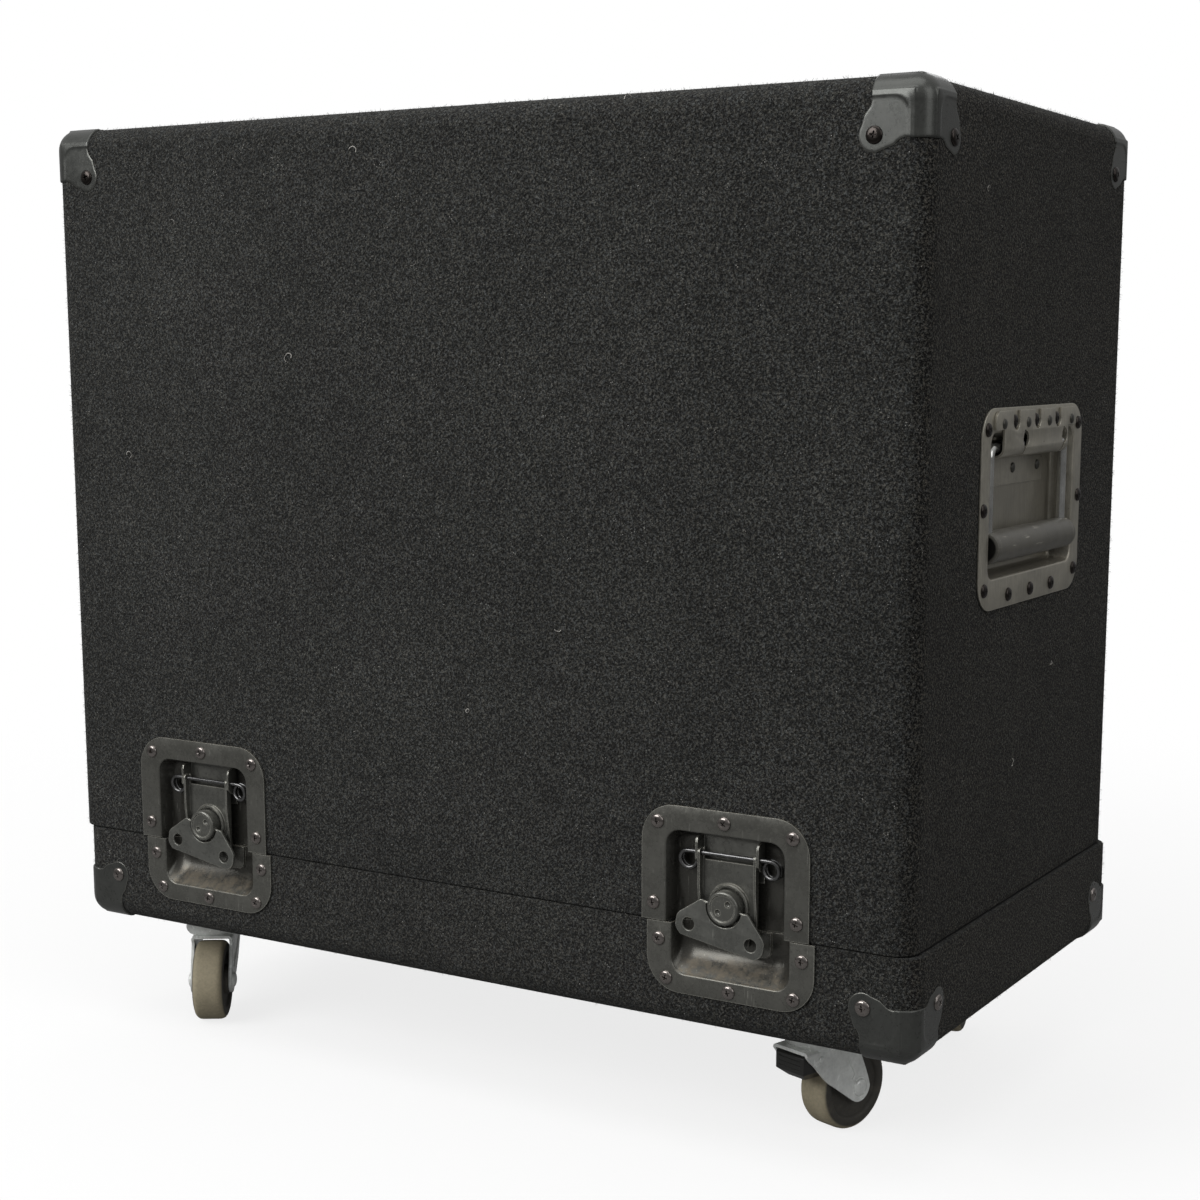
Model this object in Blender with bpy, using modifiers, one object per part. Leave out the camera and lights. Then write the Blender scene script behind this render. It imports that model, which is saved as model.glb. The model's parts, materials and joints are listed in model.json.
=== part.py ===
# Carpet-covered transit case with a lift-off lid, for a combo amplifier.
# Metres, +Z up. The front is -Y, the visible handle is on the +X end, z = 0 is the floor.

import math

import bmesh
import bpy
from mathutils import Matrix, Vector

# Case
CASE_WIDTH = 0.680
CASE_DEPTH = 0.358
CASE_HEIGHT = 0.578
BASE_HEIGHT = 0.068
EDGE_RADIUS = 0.015
CARPET_THICKNESS = 0.004
BOARD_THICKNESS = 0.012
FOAM_THICKNESS = 0.020
FOAM_CORNER = 0.004
GAP = 0.0003
# Pieces welded into one body are set apart by this much where their faces would lie together.
HAIR = 0.0001
SEAM_GAP = 0.0006
# The closed lid sits a little to the left of the base, as it does on a soft carpeted case.
LID_SLIP = 0.004
ROUND_STEPS = 3

# Alignment tongue inside the base
TONGUE_THICKNESS = 0.006
TONGUE_RISE = 0.014
TONGUE_PLAY = 0.0006
TONGUE_OVERLAP = 0.001

# Corner protectors
CORNER_ARM = 0.036
CORNER_BEAD_WIDTH = 0.012
CORNER_BEAD_PROUD = 0.0028
CORNER_BEAD_RADIUS = 0.0125
CORNER_TAB_PROUD = 0.0014
CORNER_SCREW_INSET = 0.035
CORNER_LOBE_RADIUS = 0.0097
CORNER_TAB_ROOT = 0.009

# Pressed steel sheet of the recessed dishes
SHEET = 0.0012
DISH_CUT_CLEARANCE = 0.0012

# Latches: heights are measured from the seam, depths from the dish flange's front face.
LATCH_X = 0.215
LATCH_WIDTH = 0.118
LATCH_UPPER = 0.0758
LATCH_LOWER = 0.0454
LATCH_CORNER = 0.023
LATCH_MOUTH_WIDTH = 0.083
LATCH_MOUTH_TOP = 0.0598
LATCH_MOUTH_BOTTOM = 0.0325
LATCH_MOUTH_CORNER = 0.010
LATCH_DEPTH = 0.014
DRUM_HEIGHT = 0.0143
DRUM_RADIUS = 0.011
DRUM_FACE_PROUD = 0.002
DRUM_SHAFT_RADIUS = 0.005
COLLAR_WALL = 0.002
COLLAR_CLEARANCE = 0.001
COLLAR_DEPTH = 0.0058
ARM_WIDTH = 0.041
ARM_SHEET = 0.0015
ARM_PLATE_DEPTH = 0.008
ARM_FLANGE_DEPTH = 0.0035
ARM_TOP = 0.0420
ARM_BOTTOM = -0.004
ROD_HEIGHT = 0.0465
ROD_DEPTH = 0.0062
ROD_RADIUS = 0.0014
ROD_HOLE_CLEARANCE = 0.0004
EAR_RADIUS = 0.0042
BRACKET_TOP = 0.0572
BRACKET_BOTTOM = 0.030
COIL_RADIUS = 0.0054
COIL_TURNS = 1.75
COIL_PITCH = 0.0036
COIL_INSET = 0.0291
COIL_STEPS = 8
HOOK_WIDTH = 0.026
HOOK_SHEET = 0.0012
HOOK_TOP = 0.024
HOOK_BOTTOM = -0.0125
HOOK_WINDOW_WIDTH = 0.014
HOOK_WINDOW_HEIGHT = 0.005
KEEPER_WIDTH = 0.046
KEEPER_BOTTOM = -0.0175
KEEPER_SHEET = 0.0015
KEEPER_NOSE_WIDTH = 0.012
KEEPER_NOSE_HEIGHT = 0.003
WING_SHEET = 0.002
WING_TURN = math.radians(10)
WING_NOTCH_CLEARANCE = 0.0016
WING_HOLE_RADIUS = 0.0042
WING_HOLE_X = 0.0223
WING_HOLE_DROP = 0.0176
WING_HALF_WIDTH = 0.0315
WING_DROP = 0.026
WING_SHOULDER = 0.0165
WING_SHOULDER_RISE = 0.0013
WING_PIN_RADIUS = 0.0008
WING_PIN_REACH = 0.002

# Handles: heights are measured from the dish's centre.
HANDLE_HEIGHT = 0.3275
HANDLE_WIDTH = 0.182
HANDLE_TALL = 0.125
HANDLE_CORNER = 0.020
HANDLE_MOUTH_WIDTH = 0.151
HANDLE_MOUTH_TOP = 0.047
HANDLE_MOUTH_BOTTOM = 0.043
HANDLE_MOUTH_CORNER = 0.008
HANDLE_DEPTH = 0.0158
BAIL_WIRE = 0.0032
BAIL_HALF_WIDTH = 0.0665
BAIL_PIVOT_HEIGHT = 0.0375
BAIL_DROP = 0.0615
BAIL_CORNER = 0.006
SPRING_SLEEVE_RADIUS = 0.0048
SPRING_SLEEVE_LENGTH = 0.100
ROLL_CLEARANCE = 0.0003
HINGE_SHEET = 0.0016
HINGE_WIDTH = 0.146
HINGE_TOP = 0.0605
HINGE_ROLL_WIDTH = 0.116
HINGE_SLOT_WIDTH = 0.012
HINGE_SLOT_SPACING = 0.038
HINGE_SLOT_DEPTH = 0.0125
HINGE_NOTCH_WIDTH = 0.003
HINGE_NOTCH_LEFT = -0.022
HINGE_NOTCH_RIGHT = 0.050
GRIP_RADIUS = 0.0102
GRIP_LENGTH = 0.143
GRIP_EDGE = 0.001
GRIP_CLEARANCE = 0.0003
DOUBLER_TOP = 0.030
DOUBLER_BOTTOM = 0.012
DOUBLER_WIDTH = 0.110
DOUBLER_SHEET = 0.0012

# Casters: heights are measured down from the case's underside.
CASTER_HEIGHT = 0.082
CASTER_INSET_LEFT = 0.0705
CASTER_INSET_RIGHT = 0.0965
CASTER_INSET_FRONT_LEFT = 0.0635
CASTER_INSET_FRONT_RIGHT = 0.0705
PLATE_WIDTH = 0.046
PLATE_LENGTH = 0.064
PLATE_SHEET = 0.0025
PLATE_CORNER = 0.006
RACE_RADIUS = 0.0205
RACE_DROP = 0.0078
FORK_RACE_RADIUS = 0.0225
CROWN_DROP = 0.018
FORK_SHEET = 0.0022
KINGPIN_RADIUS = 0.0045
KINGPIN_HEAD_RADIUS = 0.0078
KINGPIN_HEAD = 0.0026
WHEEL_RADIUS = 0.030
WHEEL_WIDTH = 0.023
WHEEL_ROUNDING = 0.004
HUB_WIDTH = 0.0258
HUB_RADIUS = 0.011
WHEEL_DISH = 0.0025
AXLE_RADIUS = 0.004
AXLE_HEAD_RADIUS = 0.0068
AXLE_HEAD = 0.0028
TRAIL = 0.0235
LEG_END_RADIUS = 0.010
# Front and rear edges of a fork leg, from the axle.
LEG_FRONT_EDGE = ((-0.0468, 0.0271), (-0.0421, 0.0227), (-0.0374, 0.0174), (-0.0302, 0.0097), (-0.0231, 0.0046))
LEG_REAR_EDGE = ((0.0078, 0.0065), (0.0019, 0.0207), (-0.0015, 0.028))
CROWN_FRONT = 0.0265
CROWN_REAR = 0.0235
PEDAL_FRONT = 0.0268
PEDAL_WIDTH = 0.0245
PEDAL_TOE_HEIGHT = 0.012
PEDAL_SHOE_WIDTH = 0.012
PEDAL_SHOE_GAP = 0.0013
PEDAL_PIVOT_AHEAD = 0.0135
PEDAL_PIVOT_DROP = 0.0245
PEDAL_PIN_RADIUS = 0.002
# Turn of each fork about its kingpin; zero trails to the back.
SWIVEL_FRONT_LEFT = math.radians(-146.5)
SWIVEL_FRONT_RIGHT = math.radians(-17.5)
SWIVEL_REAR_LEFT = math.radians(-30)
SWIVEL_REAR_RIGHT = math.radians(14)

SEAM_Z = CASTER_HEIGHT + BASE_HEIGHT
WALL = CARPET_THICKNESS + GAP + BOARD_THICKNESS
FLANGE_PROUD = SHEET + GAP
CORNERS = (("front_left", -1, -1), ("front_right", 1, -1), ("rear_left", -1, 1), ("rear_right", 1, 1))


# Scene helpers

def clear_scene():
    for old in list(bpy.data.objects):
        bpy.data.objects.remove(old, do_unlink=True)


def new_collection(name):
    made = bpy.data.collections.new(name)
    bpy.context.scene.collection.children.link(made)
    return made


def make_material(name, colour, roughness, metallic=0.0):
    material = bpy.data.materials.new(name)
    material.use_nodes = True
    shader = material.node_tree.nodes["Principled BSDF"]
    shader.inputs["Base Color"].default_value = (*colour, 1.0)
    shader.inputs["Roughness"].default_value = roughness
    shader.inputs["Metallic"].default_value = metallic
    return material


def evaluated_mesh(item):
    bpy.context.view_layer.update()
    graph = bpy.context.evaluated_depsgraph_get()
    return bpy.data.meshes.new_from_object(item.evaluated_get(graph))


def bake(item):
    mesh = evaluated_mesh(item)
    item.modifiers.clear()
    item.data = mesh
    return item


def object_from_bmesh(shape, name):
    mesh = bpy.data.meshes.new(name)
    shape.to_mesh(mesh)
    shape.free()
    item = bpy.data.objects.new(name, mesh)
    case.objects.link(item)
    return item


def combine(target, tool, operation):
    modifier = target.modifiers.new("combine", "BOOLEAN")
    modifier.operation = operation
    modifier.solver = "EXACT"
    modifier.object = tool
    bake(target)
    bpy.data.objects.remove(tool, do_unlink=True)
    return tidy(target)


def tidy(item):
    """Merge the hairline slivers that a Boolean can leave, and close what they leave open."""
    shape = bmesh.new()
    shape.from_mesh(item.data)
    bmesh.ops.remove_doubles(shape, verts=shape.verts, dist=3e-6)
    bmesh.ops.dissolve_degenerate(shape, edges=shape.edges, dist=1e-6)
    rims = [edge for edge in shape.edges if len(edge.link_faces) == 1]
    if rims:
        bmesh.ops.holes_fill(shape, edges=rims, sides=6)
    shape.to_mesh(item.data)
    shape.free()
    return item


def cut(target, tool):
    return combine(target, tool, "DIFFERENCE")


def join(target, tool):
    return combine(target, tool, "UNION")


def keep_common(target, tool):
    return combine(target, tool, "INTERSECT")


# Shapes

def block(low, high, name="block"):
    shape = bmesh.new()
    bmesh.ops.create_cube(shape, size=1.0)
    low = Vector(low)
    high = Vector(high)
    size = high - low
    bmesh.ops.scale(shape, vec=size, verts=shape.verts)
    bmesh.ops.translate(shape, vec=(low + high) / 2, verts=shape.verts)
    return object_from_bmesh(shape, name)


def rounded_block(low, high, radius, flat_end=None, steps=ROUND_STEPS):
    """A box with rounded edges; the edges round its top or bottom end can stay square."""
    shape = bmesh.new()
    bmesh.ops.create_cube(shape, size=1.0)
    low = Vector(low)
    high = Vector(high)
    bmesh.ops.scale(shape, vec=high - low, verts=shape.verts)
    bmesh.ops.translate(shape, vec=(low + high) / 2, verts=shape.verts)
    flat_z = {"top": high.z, "bottom": low.z, None: None}[flat_end]
    edges = []
    for edge in shape.edges:
        on_flat_end = flat_z is not None and all(abs(v.co.z - flat_z) < 1e-6 for v in edge.verts)
        if not on_flat_end:
            edges.append(edge)
    bmesh.ops.bevel(shape, geom=edges, offset=radius, segments=steps, profile=0.5, affect="EDGES")
    return object_from_bmesh(shape, "block")


def rod(start, end, radius, sides=16):
    start = Vector(start)
    end = Vector(end)
    shape = bmesh.new()
    length = (end - start).length
    bmesh.ops.create_cone(shape, cap_ends=True, segments=sides, radius1=radius, radius2=radius, depth=length)
    turn = Vector((0, 0, 1)).rotation_difference(end - start).to_matrix().to_4x4()
    bmesh.ops.transform(shape, matrix=Matrix.Translation((start + end) / 2) @ turn, verts=shape.verts)
    return object_from_bmesh(shape, "rod")


def arc(centre, radius, start, end, steps):
    points = []
    for step in range(steps + 1):
        angle = math.radians(start + (end - start) * step / steps)
        points.append((centre[0] + radius * math.cos(angle), centre[1] + radius * math.sin(angle)))
    return points


def rounded_outline(left, right, bottom, top, radius, steps=3):
    points = arc((right - radius, top - radius), radius, 0, 90, steps)
    points += arc((left + radius, top - radius), radius, 90, 180, steps)
    points += arc((left + radius, bottom + radius), radius, 180, 270, steps)
    points += arc((right - radius, bottom + radius), radius, 270, 360, steps)
    return points


def flat_plate(outlines, near, far, facing="Y"):
    """A plate cut from flat outlines, the first its edge and the rest its holes.

    It fills from near to far along the facing axis. Facing Y its outline is read as x and z,
    facing X as y and z, and facing Z as x and y.
    """
    curve = bpy.data.curves.new("outline", "CURVE")
    curve.dimensions = "2D"
    curve.fill_mode = "BOTH"
    curve.extrude = abs(far - near) / 2
    for outline in outlines:
        spline = curve.splines.new("POLY")
        spline.points.add(len(outline) - 1)
        for point, place in zip(spline.points, outline):
            point.co = (place[0], place[1], 0, 1)
        spline.use_cyclic_u = True
    guide = bpy.data.objects.new("outline", curve)
    case.objects.link(guide)
    mesh = evaluated_mesh(guide)
    bpy.data.objects.remove(guide, do_unlink=True)
    shape = bmesh.new()
    shape.from_mesh(mesh)
    bmesh.ops.remove_doubles(shape, verts=shape.verts, dist=1e-6)
    turns = {
        "Y": Matrix.Rotation(math.pi / 2, 4, "X"),
        "X": Matrix.Rotation(math.pi / 2, 4, "Z") @ Matrix.Rotation(math.pi / 2, 4, "X"),
        "Z": Matrix.Identity(4),
    }
    axis = {"X": Vector((1, 0, 0)), "Y": Vector((0, 1, 0)), "Z": Vector((0, 0, 1))}[facing]
    move = Matrix.Translation(axis * (near + far) / 2)
    bmesh.ops.transform(shape, matrix=move @ turns[facing], verts=shape.verts)
    bmesh.ops.recalc_face_normals(shape, faces=shape.faces)
    return object_from_bmesh(shape, "plate")


def turned(profile, steps=24, axis="Z"):
    """A closed profile of radius and height, revolved about the Z axis, or laid along X."""
    shape = bmesh.new()
    points = []
    for radius, height in profile:
        points.append(shape.verts.new((radius, 0, height)))
    for first, second in zip(points, points[1:] + points[:1]):
        shape.edges.new((first, second))
    item = object_from_bmesh(shape, "turned")
    screw = item.modifiers.new("turn", "SCREW")
    screw.steps = steps
    screw.render_steps = steps
    screw.use_merge_vertices = True
    screw.merge_threshold = 1e-6
    bake(item)
    shape = bmesh.new()
    shape.from_mesh(item.data)
    if axis == "X":
        bmesh.ops.transform(shape, matrix=Matrix.Rotation(math.pi / 2, 4, "Y"), verts=shape.verts)
    bmesh.ops.remove_doubles(shape, verts=shape.verts, dist=1e-6)
    bmesh.ops.recalc_face_normals(shape, faces=shape.faces)
    shape.to_mesh(item.data)
    shape.free()
    return item


def wire(points, radius, bevel=1):
    """A round wire along a list of points, as a closed mesh."""
    curve = bpy.data.curves.new("wire", "CURVE")
    curve.dimensions = "3D"
    curve.bevel_depth = radius
    curve.bevel_resolution = bevel
    curve.use_fill_caps = True
    spline = curve.splines.new("POLY")
    spline.points.add(len(points) - 1)
    for point, place in zip(spline.points, points):
        point.co = (*place, 1)
    guide = bpy.data.objects.new("wire", curve)
    case.objects.link(guide)
    mesh = evaluated_mesh(guide)
    bpy.data.objects.remove(guide, do_unlink=True)
    shape = bmesh.new()
    shape.from_mesh(mesh)
    bmesh.ops.remove_doubles(shape, verts=shape.verts, dist=1e-6)
    bmesh.ops.recalc_face_normals(shape, faces=shape.faces)
    return object_from_bmesh(shape, "wire")


def pressed_dish(rings, keep=None, cut_height=0.0):
    """A pressed sheet dish lofted through rounded rings, the last one closed as its floor.

    A ring is left, right, bottom, top, corner radius and depth. The dish can be split at a
    height, keeping its upper or its lower part.
    """
    shape = bmesh.new()
    loops = []
    for left, right, bottom, top, radius, depth in rings:
        loop = []
        for x, z in rounded_outline(left, right, bottom, top, radius):
            loop.append(shape.verts.new((x, depth, z)))
        loops.append(loop)
    for outer, inner in zip(loops, loops[1:]):
        count = len(outer)
        for index in range(count):
            after = (index + 1) % count
            shape.faces.new((outer[index], outer[after], inner[after], inner[index]))
    shape.faces.new(loops[-1])
    if keep:
        side = 1 if keep == "upper" else -1
        everything = shape.verts[:] + shape.edges[:] + shape.faces[:]
        bmesh.ops.bisect_plane(
            shape, geom=everything, plane_co=(0, 0, cut_height), plane_no=(0, 0, side), clear_inner=True
        )
    shape.normal_update()
    floor = max(shape.faces, key=lambda face: face.calc_center_median().y)
    if floor.normal.y > 0:
        bmesh.ops.reverse_faces(shape, faces=shape.faces)
    item = object_from_bmesh(shape, "dish")
    skin = item.modifiers.new("sheet", "SOLIDIFY")
    skin.thickness = SHEET
    skin.offset = -1
    skin.use_even_offset = True
    return bake(item)


def finish(item, name, material, parent=None, place=(0, 0, 0), turn=(0, 0, 0), smooth=30):
    """Name a piece, give it its material and set it on its parent."""
    item.name = name
    item.data.name = name
    item.data.materials.clear()
    item.data.materials.append(material)
    item.data.shade_smooth()
    item.data.set_sharp_from_angle(angle=math.radians(smooth))
    item.parent = parent
    item.location = place
    item.rotation_euler = turn
    return item


def copy_of(master, name, parent, place=(0, 0, 0), turn=(0, 0, 0)):
    item = bpy.data.objects.new(name, master.data)
    case.objects.link(item)
    item.parent = parent
    item.location = place
    item.rotation_euler = turn
    return item


def frame_empty(name, place, turn_z=0.0, parent=None):
    item = bpy.data.objects.new(name, None)
    case.objects.link(item)
    item.parent = parent
    item.location = place
    item.rotation_euler = (0, 0, turn_z)
    return item


# Lid and base

def inset_block(half, inset, radius):
    """The lid's or base's block, drawn in from the case's outside by an inset on each face."""
    low_z, high_z, flat_end = half
    if flat_end == "bottom":
        high_z -= inset
    else:
        low_z += inset
    low = (-CASE_WIDTH / 2 + inset, -CASE_DEPTH / 2 + inset, low_z)
    high = (CASE_WIDTH / 2 - inset, CASE_DEPTH / 2 - inset, high_z)
    return rounded_block(low, high, radius, flat_end)


def hollow_block(half, inset, radius=None):
    """A cutter like inset_block that runs on past the seam; sharp-edged without a radius."""
    low_z, high_z, flat_end = half
    past_seam = 0.01
    if flat_end == "bottom":
        span = (low_z - past_seam, high_z - inset)
    else:
        span = (low_z + inset, high_z + past_seam)
    low = (-CASE_WIDTH / 2 + inset, -CASE_DEPTH / 2 + inset, span[0])
    high = (CASE_WIDTH / 2 - inset, CASE_DEPTH / 2 - inset, span[1])
    if radius:
        return rounded_block(low, high, radius, flat_end)
    return block(low, high)


def recess_cutters(half, is_lid):
    """Square-cornered cutters where the latch and handle dishes pass through the walls."""
    clearance = SHEET + DISH_CUT_CLEARANCE
    half_mouth = LATCH_MOUTH_WIDTH / 2 + clearance
    reach = 0.02
    if is_lid:
        latch_span = (-reach, LATCH_MOUTH_TOP + clearance)
    else:
        latch_span = (-LATCH_MOUTH_BOTTOM - clearance, reach)
    cutters = []
    for name, side_x, side_y in CORNERS:
        face_y = side_y * CASE_DEPTH / 2
        inner_y = side_y * (CASE_DEPTH / 2 - WALL)
        low_y, high_y = sorted((face_y + side_y * reach, inner_y - side_y * GAP))
        centre = side_x * LATCH_X
        low = (centre - half_mouth, low_y, latch_span[0])
        high = (centre + half_mouth, high_y, latch_span[1])
        cutters.append(block(low, high))
    if is_lid:
        middle = HANDLE_HEIGHT - BASE_HEIGHT
        half_width = HANDLE_MOUTH_WIDTH / 2 + clearance
        low_z = middle - HANDLE_MOUTH_BOTTOM - clearance
        high_z = middle + HANDLE_MOUTH_TOP + clearance
        for side_x in (-1, 1):
            face_x = side_x * (CASE_WIDTH / 2 + reach)
            inner_x = side_x * (CASE_WIDTH / 2 - WALL - GAP)
            low_x, high_x = sorted((face_x, inner_x))
            low = (low_x, -half_width, low_z)
            high = (high_x, half_width, high_z)
            cutters.append(block(low, high))
    return cutters


def make_half(half, is_lid, parent, prefix):
    """Carpet and board shell of the lid or the base."""
    carpet = inset_block(half, 0.0, EDGE_RADIUS)
    cut(carpet, hollow_block(half, CARPET_THICKNESS, EDGE_RADIUS - CARPET_THICKNESS))
    board_inset = CARPET_THICKNESS + GAP
    board = inset_block(half, board_inset, EDGE_RADIUS - board_inset)
    cut(board, hollow_block(half, WALL))
    for cutter in recess_cutters(half, is_lid):
        cut(carpet, cutter)
    for cutter in recess_cutters(half, is_lid):
        cut(board, cutter)
    if not is_lid:
        add_tongue(board)
    finish(carpet, prefix + "_carpet", carpet_black, parent)
    finish(board, prefix + "_shell", board_ply, parent)


def ring_plate(outer_x, outer_y, inner_x, inner_y, low_z, high_z):
    outer = rounded_outline(-outer_x, outer_x, -outer_y, outer_y, 0.002, 1)
    inner = rounded_outline(-inner_x, inner_x, -inner_y, inner_y, 0.002, 1)
    return flat_plate([outer, inner], low_z, high_z, "Z")


def tongue_outside():
    """Half width and half depth of the tongue where the lid slips over it."""
    half_x = CASE_WIDTH / 2 - WALL - TONGUE_PLAY - LID_SLIP
    half_y = CASE_DEPTH / 2 - WALL - TONGUE_PLAY
    return half_x, half_y


def add_tongue(board):
    """Alignment strip glued inside the base's walls, standing above the seam."""
    half_x, half_y = tongue_outside()
    root_x = CASE_WIDTH / 2 - WALL + TONGUE_OVERLAP
    root_y = CASE_DEPTH / 2 - WALL + TONGUE_OVERLAP
    floor = -BASE_HEIGHT + WALL - TONGUE_OVERLAP
    root_top = -LATCH_MOUTH_BOTTOM - SHEET - DISH_CUT_CLEARANCE - GAP
    inner_x = half_x - TONGUE_THICKNESS
    inner_y = half_y - TONGUE_THICKNESS
    tongue = ring_plate(root_x, root_y, inner_x, inner_y, floor, TONGUE_RISE)
    past = 0.01
    cut(tongue, ring_plate(root_x + past, root_y + past, half_x, half_y, root_top, TONGUE_RISE + past))
    join(board, tongue)


def make_foam(lid_frame, base_frame):
    """Foam lining: a hood in the lid and a tray in the base, with one clear space between."""
    space_x, space_y = foam_space()
    outer_x = CASE_WIDTH / 2 - WALL - GAP
    outer_y = CASE_DEPTH / 2 - WALL - GAP
    lid_top = CASE_HEIGHT - BASE_HEIGHT - WALL - GAP
    lid_low = TONGUE_RISE + 0.002
    edge = rounded_outline(-outer_x, outer_x, -outer_y, outer_y, FOAM_CORNER, 2)
    hood = flat_plate([edge], lid_low, lid_top, "Z")
    cut(hood, block((-space_x, -space_y, -0.01), (space_x, space_y, lid_top - FOAM_THICKNESS)))
    finish(hood, "lid_foam", foam_grey, lid_frame)
    half_x, half_y = tongue_outside()
    tray_x = half_x - TONGUE_THICKNESS - GAP
    tray_y = half_y - TONGUE_THICKNESS - GAP
    tray_low = -BASE_HEIGHT + WALL + GAP
    edge = rounded_outline(-tray_x, tray_x, -tray_y, tray_y, FOAM_CORNER, 2)
    tray = flat_plate([edge], tray_low, TONGUE_RISE, "Z")
    cut(tray, block((-space_x, -space_y, tray_low + FOAM_THICKNESS), (space_x, space_y, 0.1)))
    finish(tray, "base_foam", foam_grey, base_frame)


def foam_space():
    return CASE_WIDTH / 2 - WALL - FOAM_THICKNESS, CASE_DEPTH / 2 - WALL - FOAM_THICKNESS


# Corner protectors

def corner_tab():
    """Screw tab of one face: it flares from the bead to a round lobe, in face coordinates."""
    inset = CORNER_SCREW_INSET - 0.0005
    root = CORNER_TAB_ROOT
    end = CORNER_ARM - HAIR * 2
    flare = [(end, root), (end, 0.0155), (0.0378, 0.0188), (0.0402, 0.0218)]
    lobe = arc((inset, inset), CORNER_LOBE_RADIUS, -30, 120, 7)
    return [(root, root)] + flare + lobe + [(b, a) for a, b in reversed(flare)]


def make_corner_master():
    """Protector for the corner at the origin whose three faces run to -x, -y and -z."""
    far = 0.09
    proud = CORNER_BEAD_PROUD
    outer = rounded_block((-far,) * 3, (proud,) * 3, CORNER_BEAD_RADIUS)
    body = keep_common(outer, block((-CORNER_ARM,) * 3, (0.01,) * 3))
    pocket = CORNER_BEAD_WIDTH
    cut(body, block((-far, -far, -far), (-pocket, -pocket, 0.01)))
    cut(body, block((-far, -far, -far), (-pocket, 0.01, -pocket)))
    cut(body, block((-far, -far, -far), (0.01, -pocket, -pocket)))
    flipped = [(-a, -b) for a, b in corner_tab()]
    sink = -0.006
    top_tab = flat_plate([flipped], sink, CORNER_TAB_PROUD, "Z")
    side_tab = flat_plate([flipped], sink, CORNER_TAB_PROUD, "X")
    front_tab = flat_plate([flipped], sink, CORNER_TAB_PROUD, "Y")
    join(body, top_tab)
    join(body, side_tab)
    join(body, front_tab)
    cut(body, rounded_block((-far,) * 3, (GAP,) * 3, EDGE_RADIUS + GAP))
    return body


def make_corners(lid_frame, base_frame):
    master = make_corner_master()
    finish(master, "corner_master", corner_steel)
    turns = {(1, 1): 0, (-1, 1): 90, (-1, -1): 180, (1, -1): 270}
    for name, side_x, side_y in CORNERS:
        place = (side_x * CASE_WIDTH / 2, side_y * CASE_DEPTH / 2, CASE_HEIGHT - BASE_HEIGHT)
        turn = (0, 0, math.radians(turns[(side_x, side_y)]))
        copy_of(master, "corner_top_" + name, lid_frame, place, turn)
        place = (side_x * CASE_WIDTH / 2, side_y * CASE_DEPTH / 2, -BASE_HEIGHT)
        bottom = copy_of(master, "corner_bottom_" + name, base_frame, place)
        flip = Matrix.Rotation(math.radians(turns[(side_x, side_y)]), 4, "Z")
        over = Matrix.Rotation(math.pi / 2, 4, "Z") @ Matrix.Rotation(math.pi, 4, "X")
        bottom.rotation_euler = (flip @ over).to_euler()
    bpy.data.objects.remove(master, do_unlink=True)


# Latches

def latch_dish_rings():
    side = LATCH_WIDTH / 2
    mouth = LATCH_MOUTH_WIDTH / 2
    top = LATCH_MOUTH_TOP
    bottom = LATCH_MOUTH_BOTTOM
    corner = LATCH_MOUTH_CORNER
    depth = LATCH_DEPTH
    lip = 0.0016
    return [
        (-side, side, -LATCH_LOWER, LATCH_UPPER, LATCH_CORNER, 0.0),
        (-mouth - lip, mouth + lip, -bottom - lip, top + lip, corner + lip, 0.0),
        (-mouth, mouth, -bottom, top, corner, lip),
        (-mouth + 0.001, mouth - 0.001, -bottom + 0.004, top - 0.0008, corner, depth * 0.45),
        (-mouth + 0.003, mouth - 0.003, -bottom + 0.010, top - 0.0022, corner, depth * 0.82),
        (-mouth + 0.0065, mouth - 0.0065, -bottom + 0.0155, top - 0.005, corner - 0.002, depth * 0.98),
        (-mouth + 0.010, mouth - 0.010, -bottom + 0.019, top - 0.008, corner - 0.004, depth),
    ]


def coil_points(side):
    """Points of the rod's end coil on one side, from the rod outwards, with its tail."""
    points = []
    centre_x = side * COIL_INSET
    centre_z = ROD_HEIGHT - COIL_RADIUS
    count = round(COIL_TURNS * COIL_STEPS)
    for step in range(count + 1):
        angle = 2 * math.pi * step / COIL_STEPS
        x = centre_x + side * COIL_RADIUS * math.sin(angle)
        z = centre_z + COIL_RADIUS * math.cos(angle)
        y = ROD_DEPTH + COIL_PITCH * step / COIL_STEPS
        points.append((x, y, z))
    end_x = points[-1][0] + side * 0.0002
    points.append((end_x, LATCH_DEPTH + SHEET * 0.7, points[-1][2] + 0.003))
    return points


def least_gap(points, radius, skip):
    """Least clear gap between stretches of one wire that lie more than skip points apart."""
    least = None
    for first in range(len(points)):
        for second in range(first + skip, len(points)):
            apart = (Vector(points[first]) - Vector(points[second])).length - 2 * radius
            if least is None or apart < least:
                least = apart
    return least


def rod_wire():
    """One unbroken wire: tail, coil, straight rod, coil, tail."""
    left = coil_points(-1)
    right = coil_points(1)
    in_ear = ARM_WIDTH / 2 + GAP + ARM_SHEET / 2
    points = list(reversed(left))
    points += [(-in_ear, ROD_DEPTH, ROD_HEIGHT), (in_ear, ROD_DEPTH, ROD_HEIGHT)]
    points += right
    print("spring wire least gap mm", round(least_gap(points, ROD_RADIUS, COIL_STEPS - 2) * 1000, 2))
    return wire(points, ROD_RADIUS)


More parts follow.
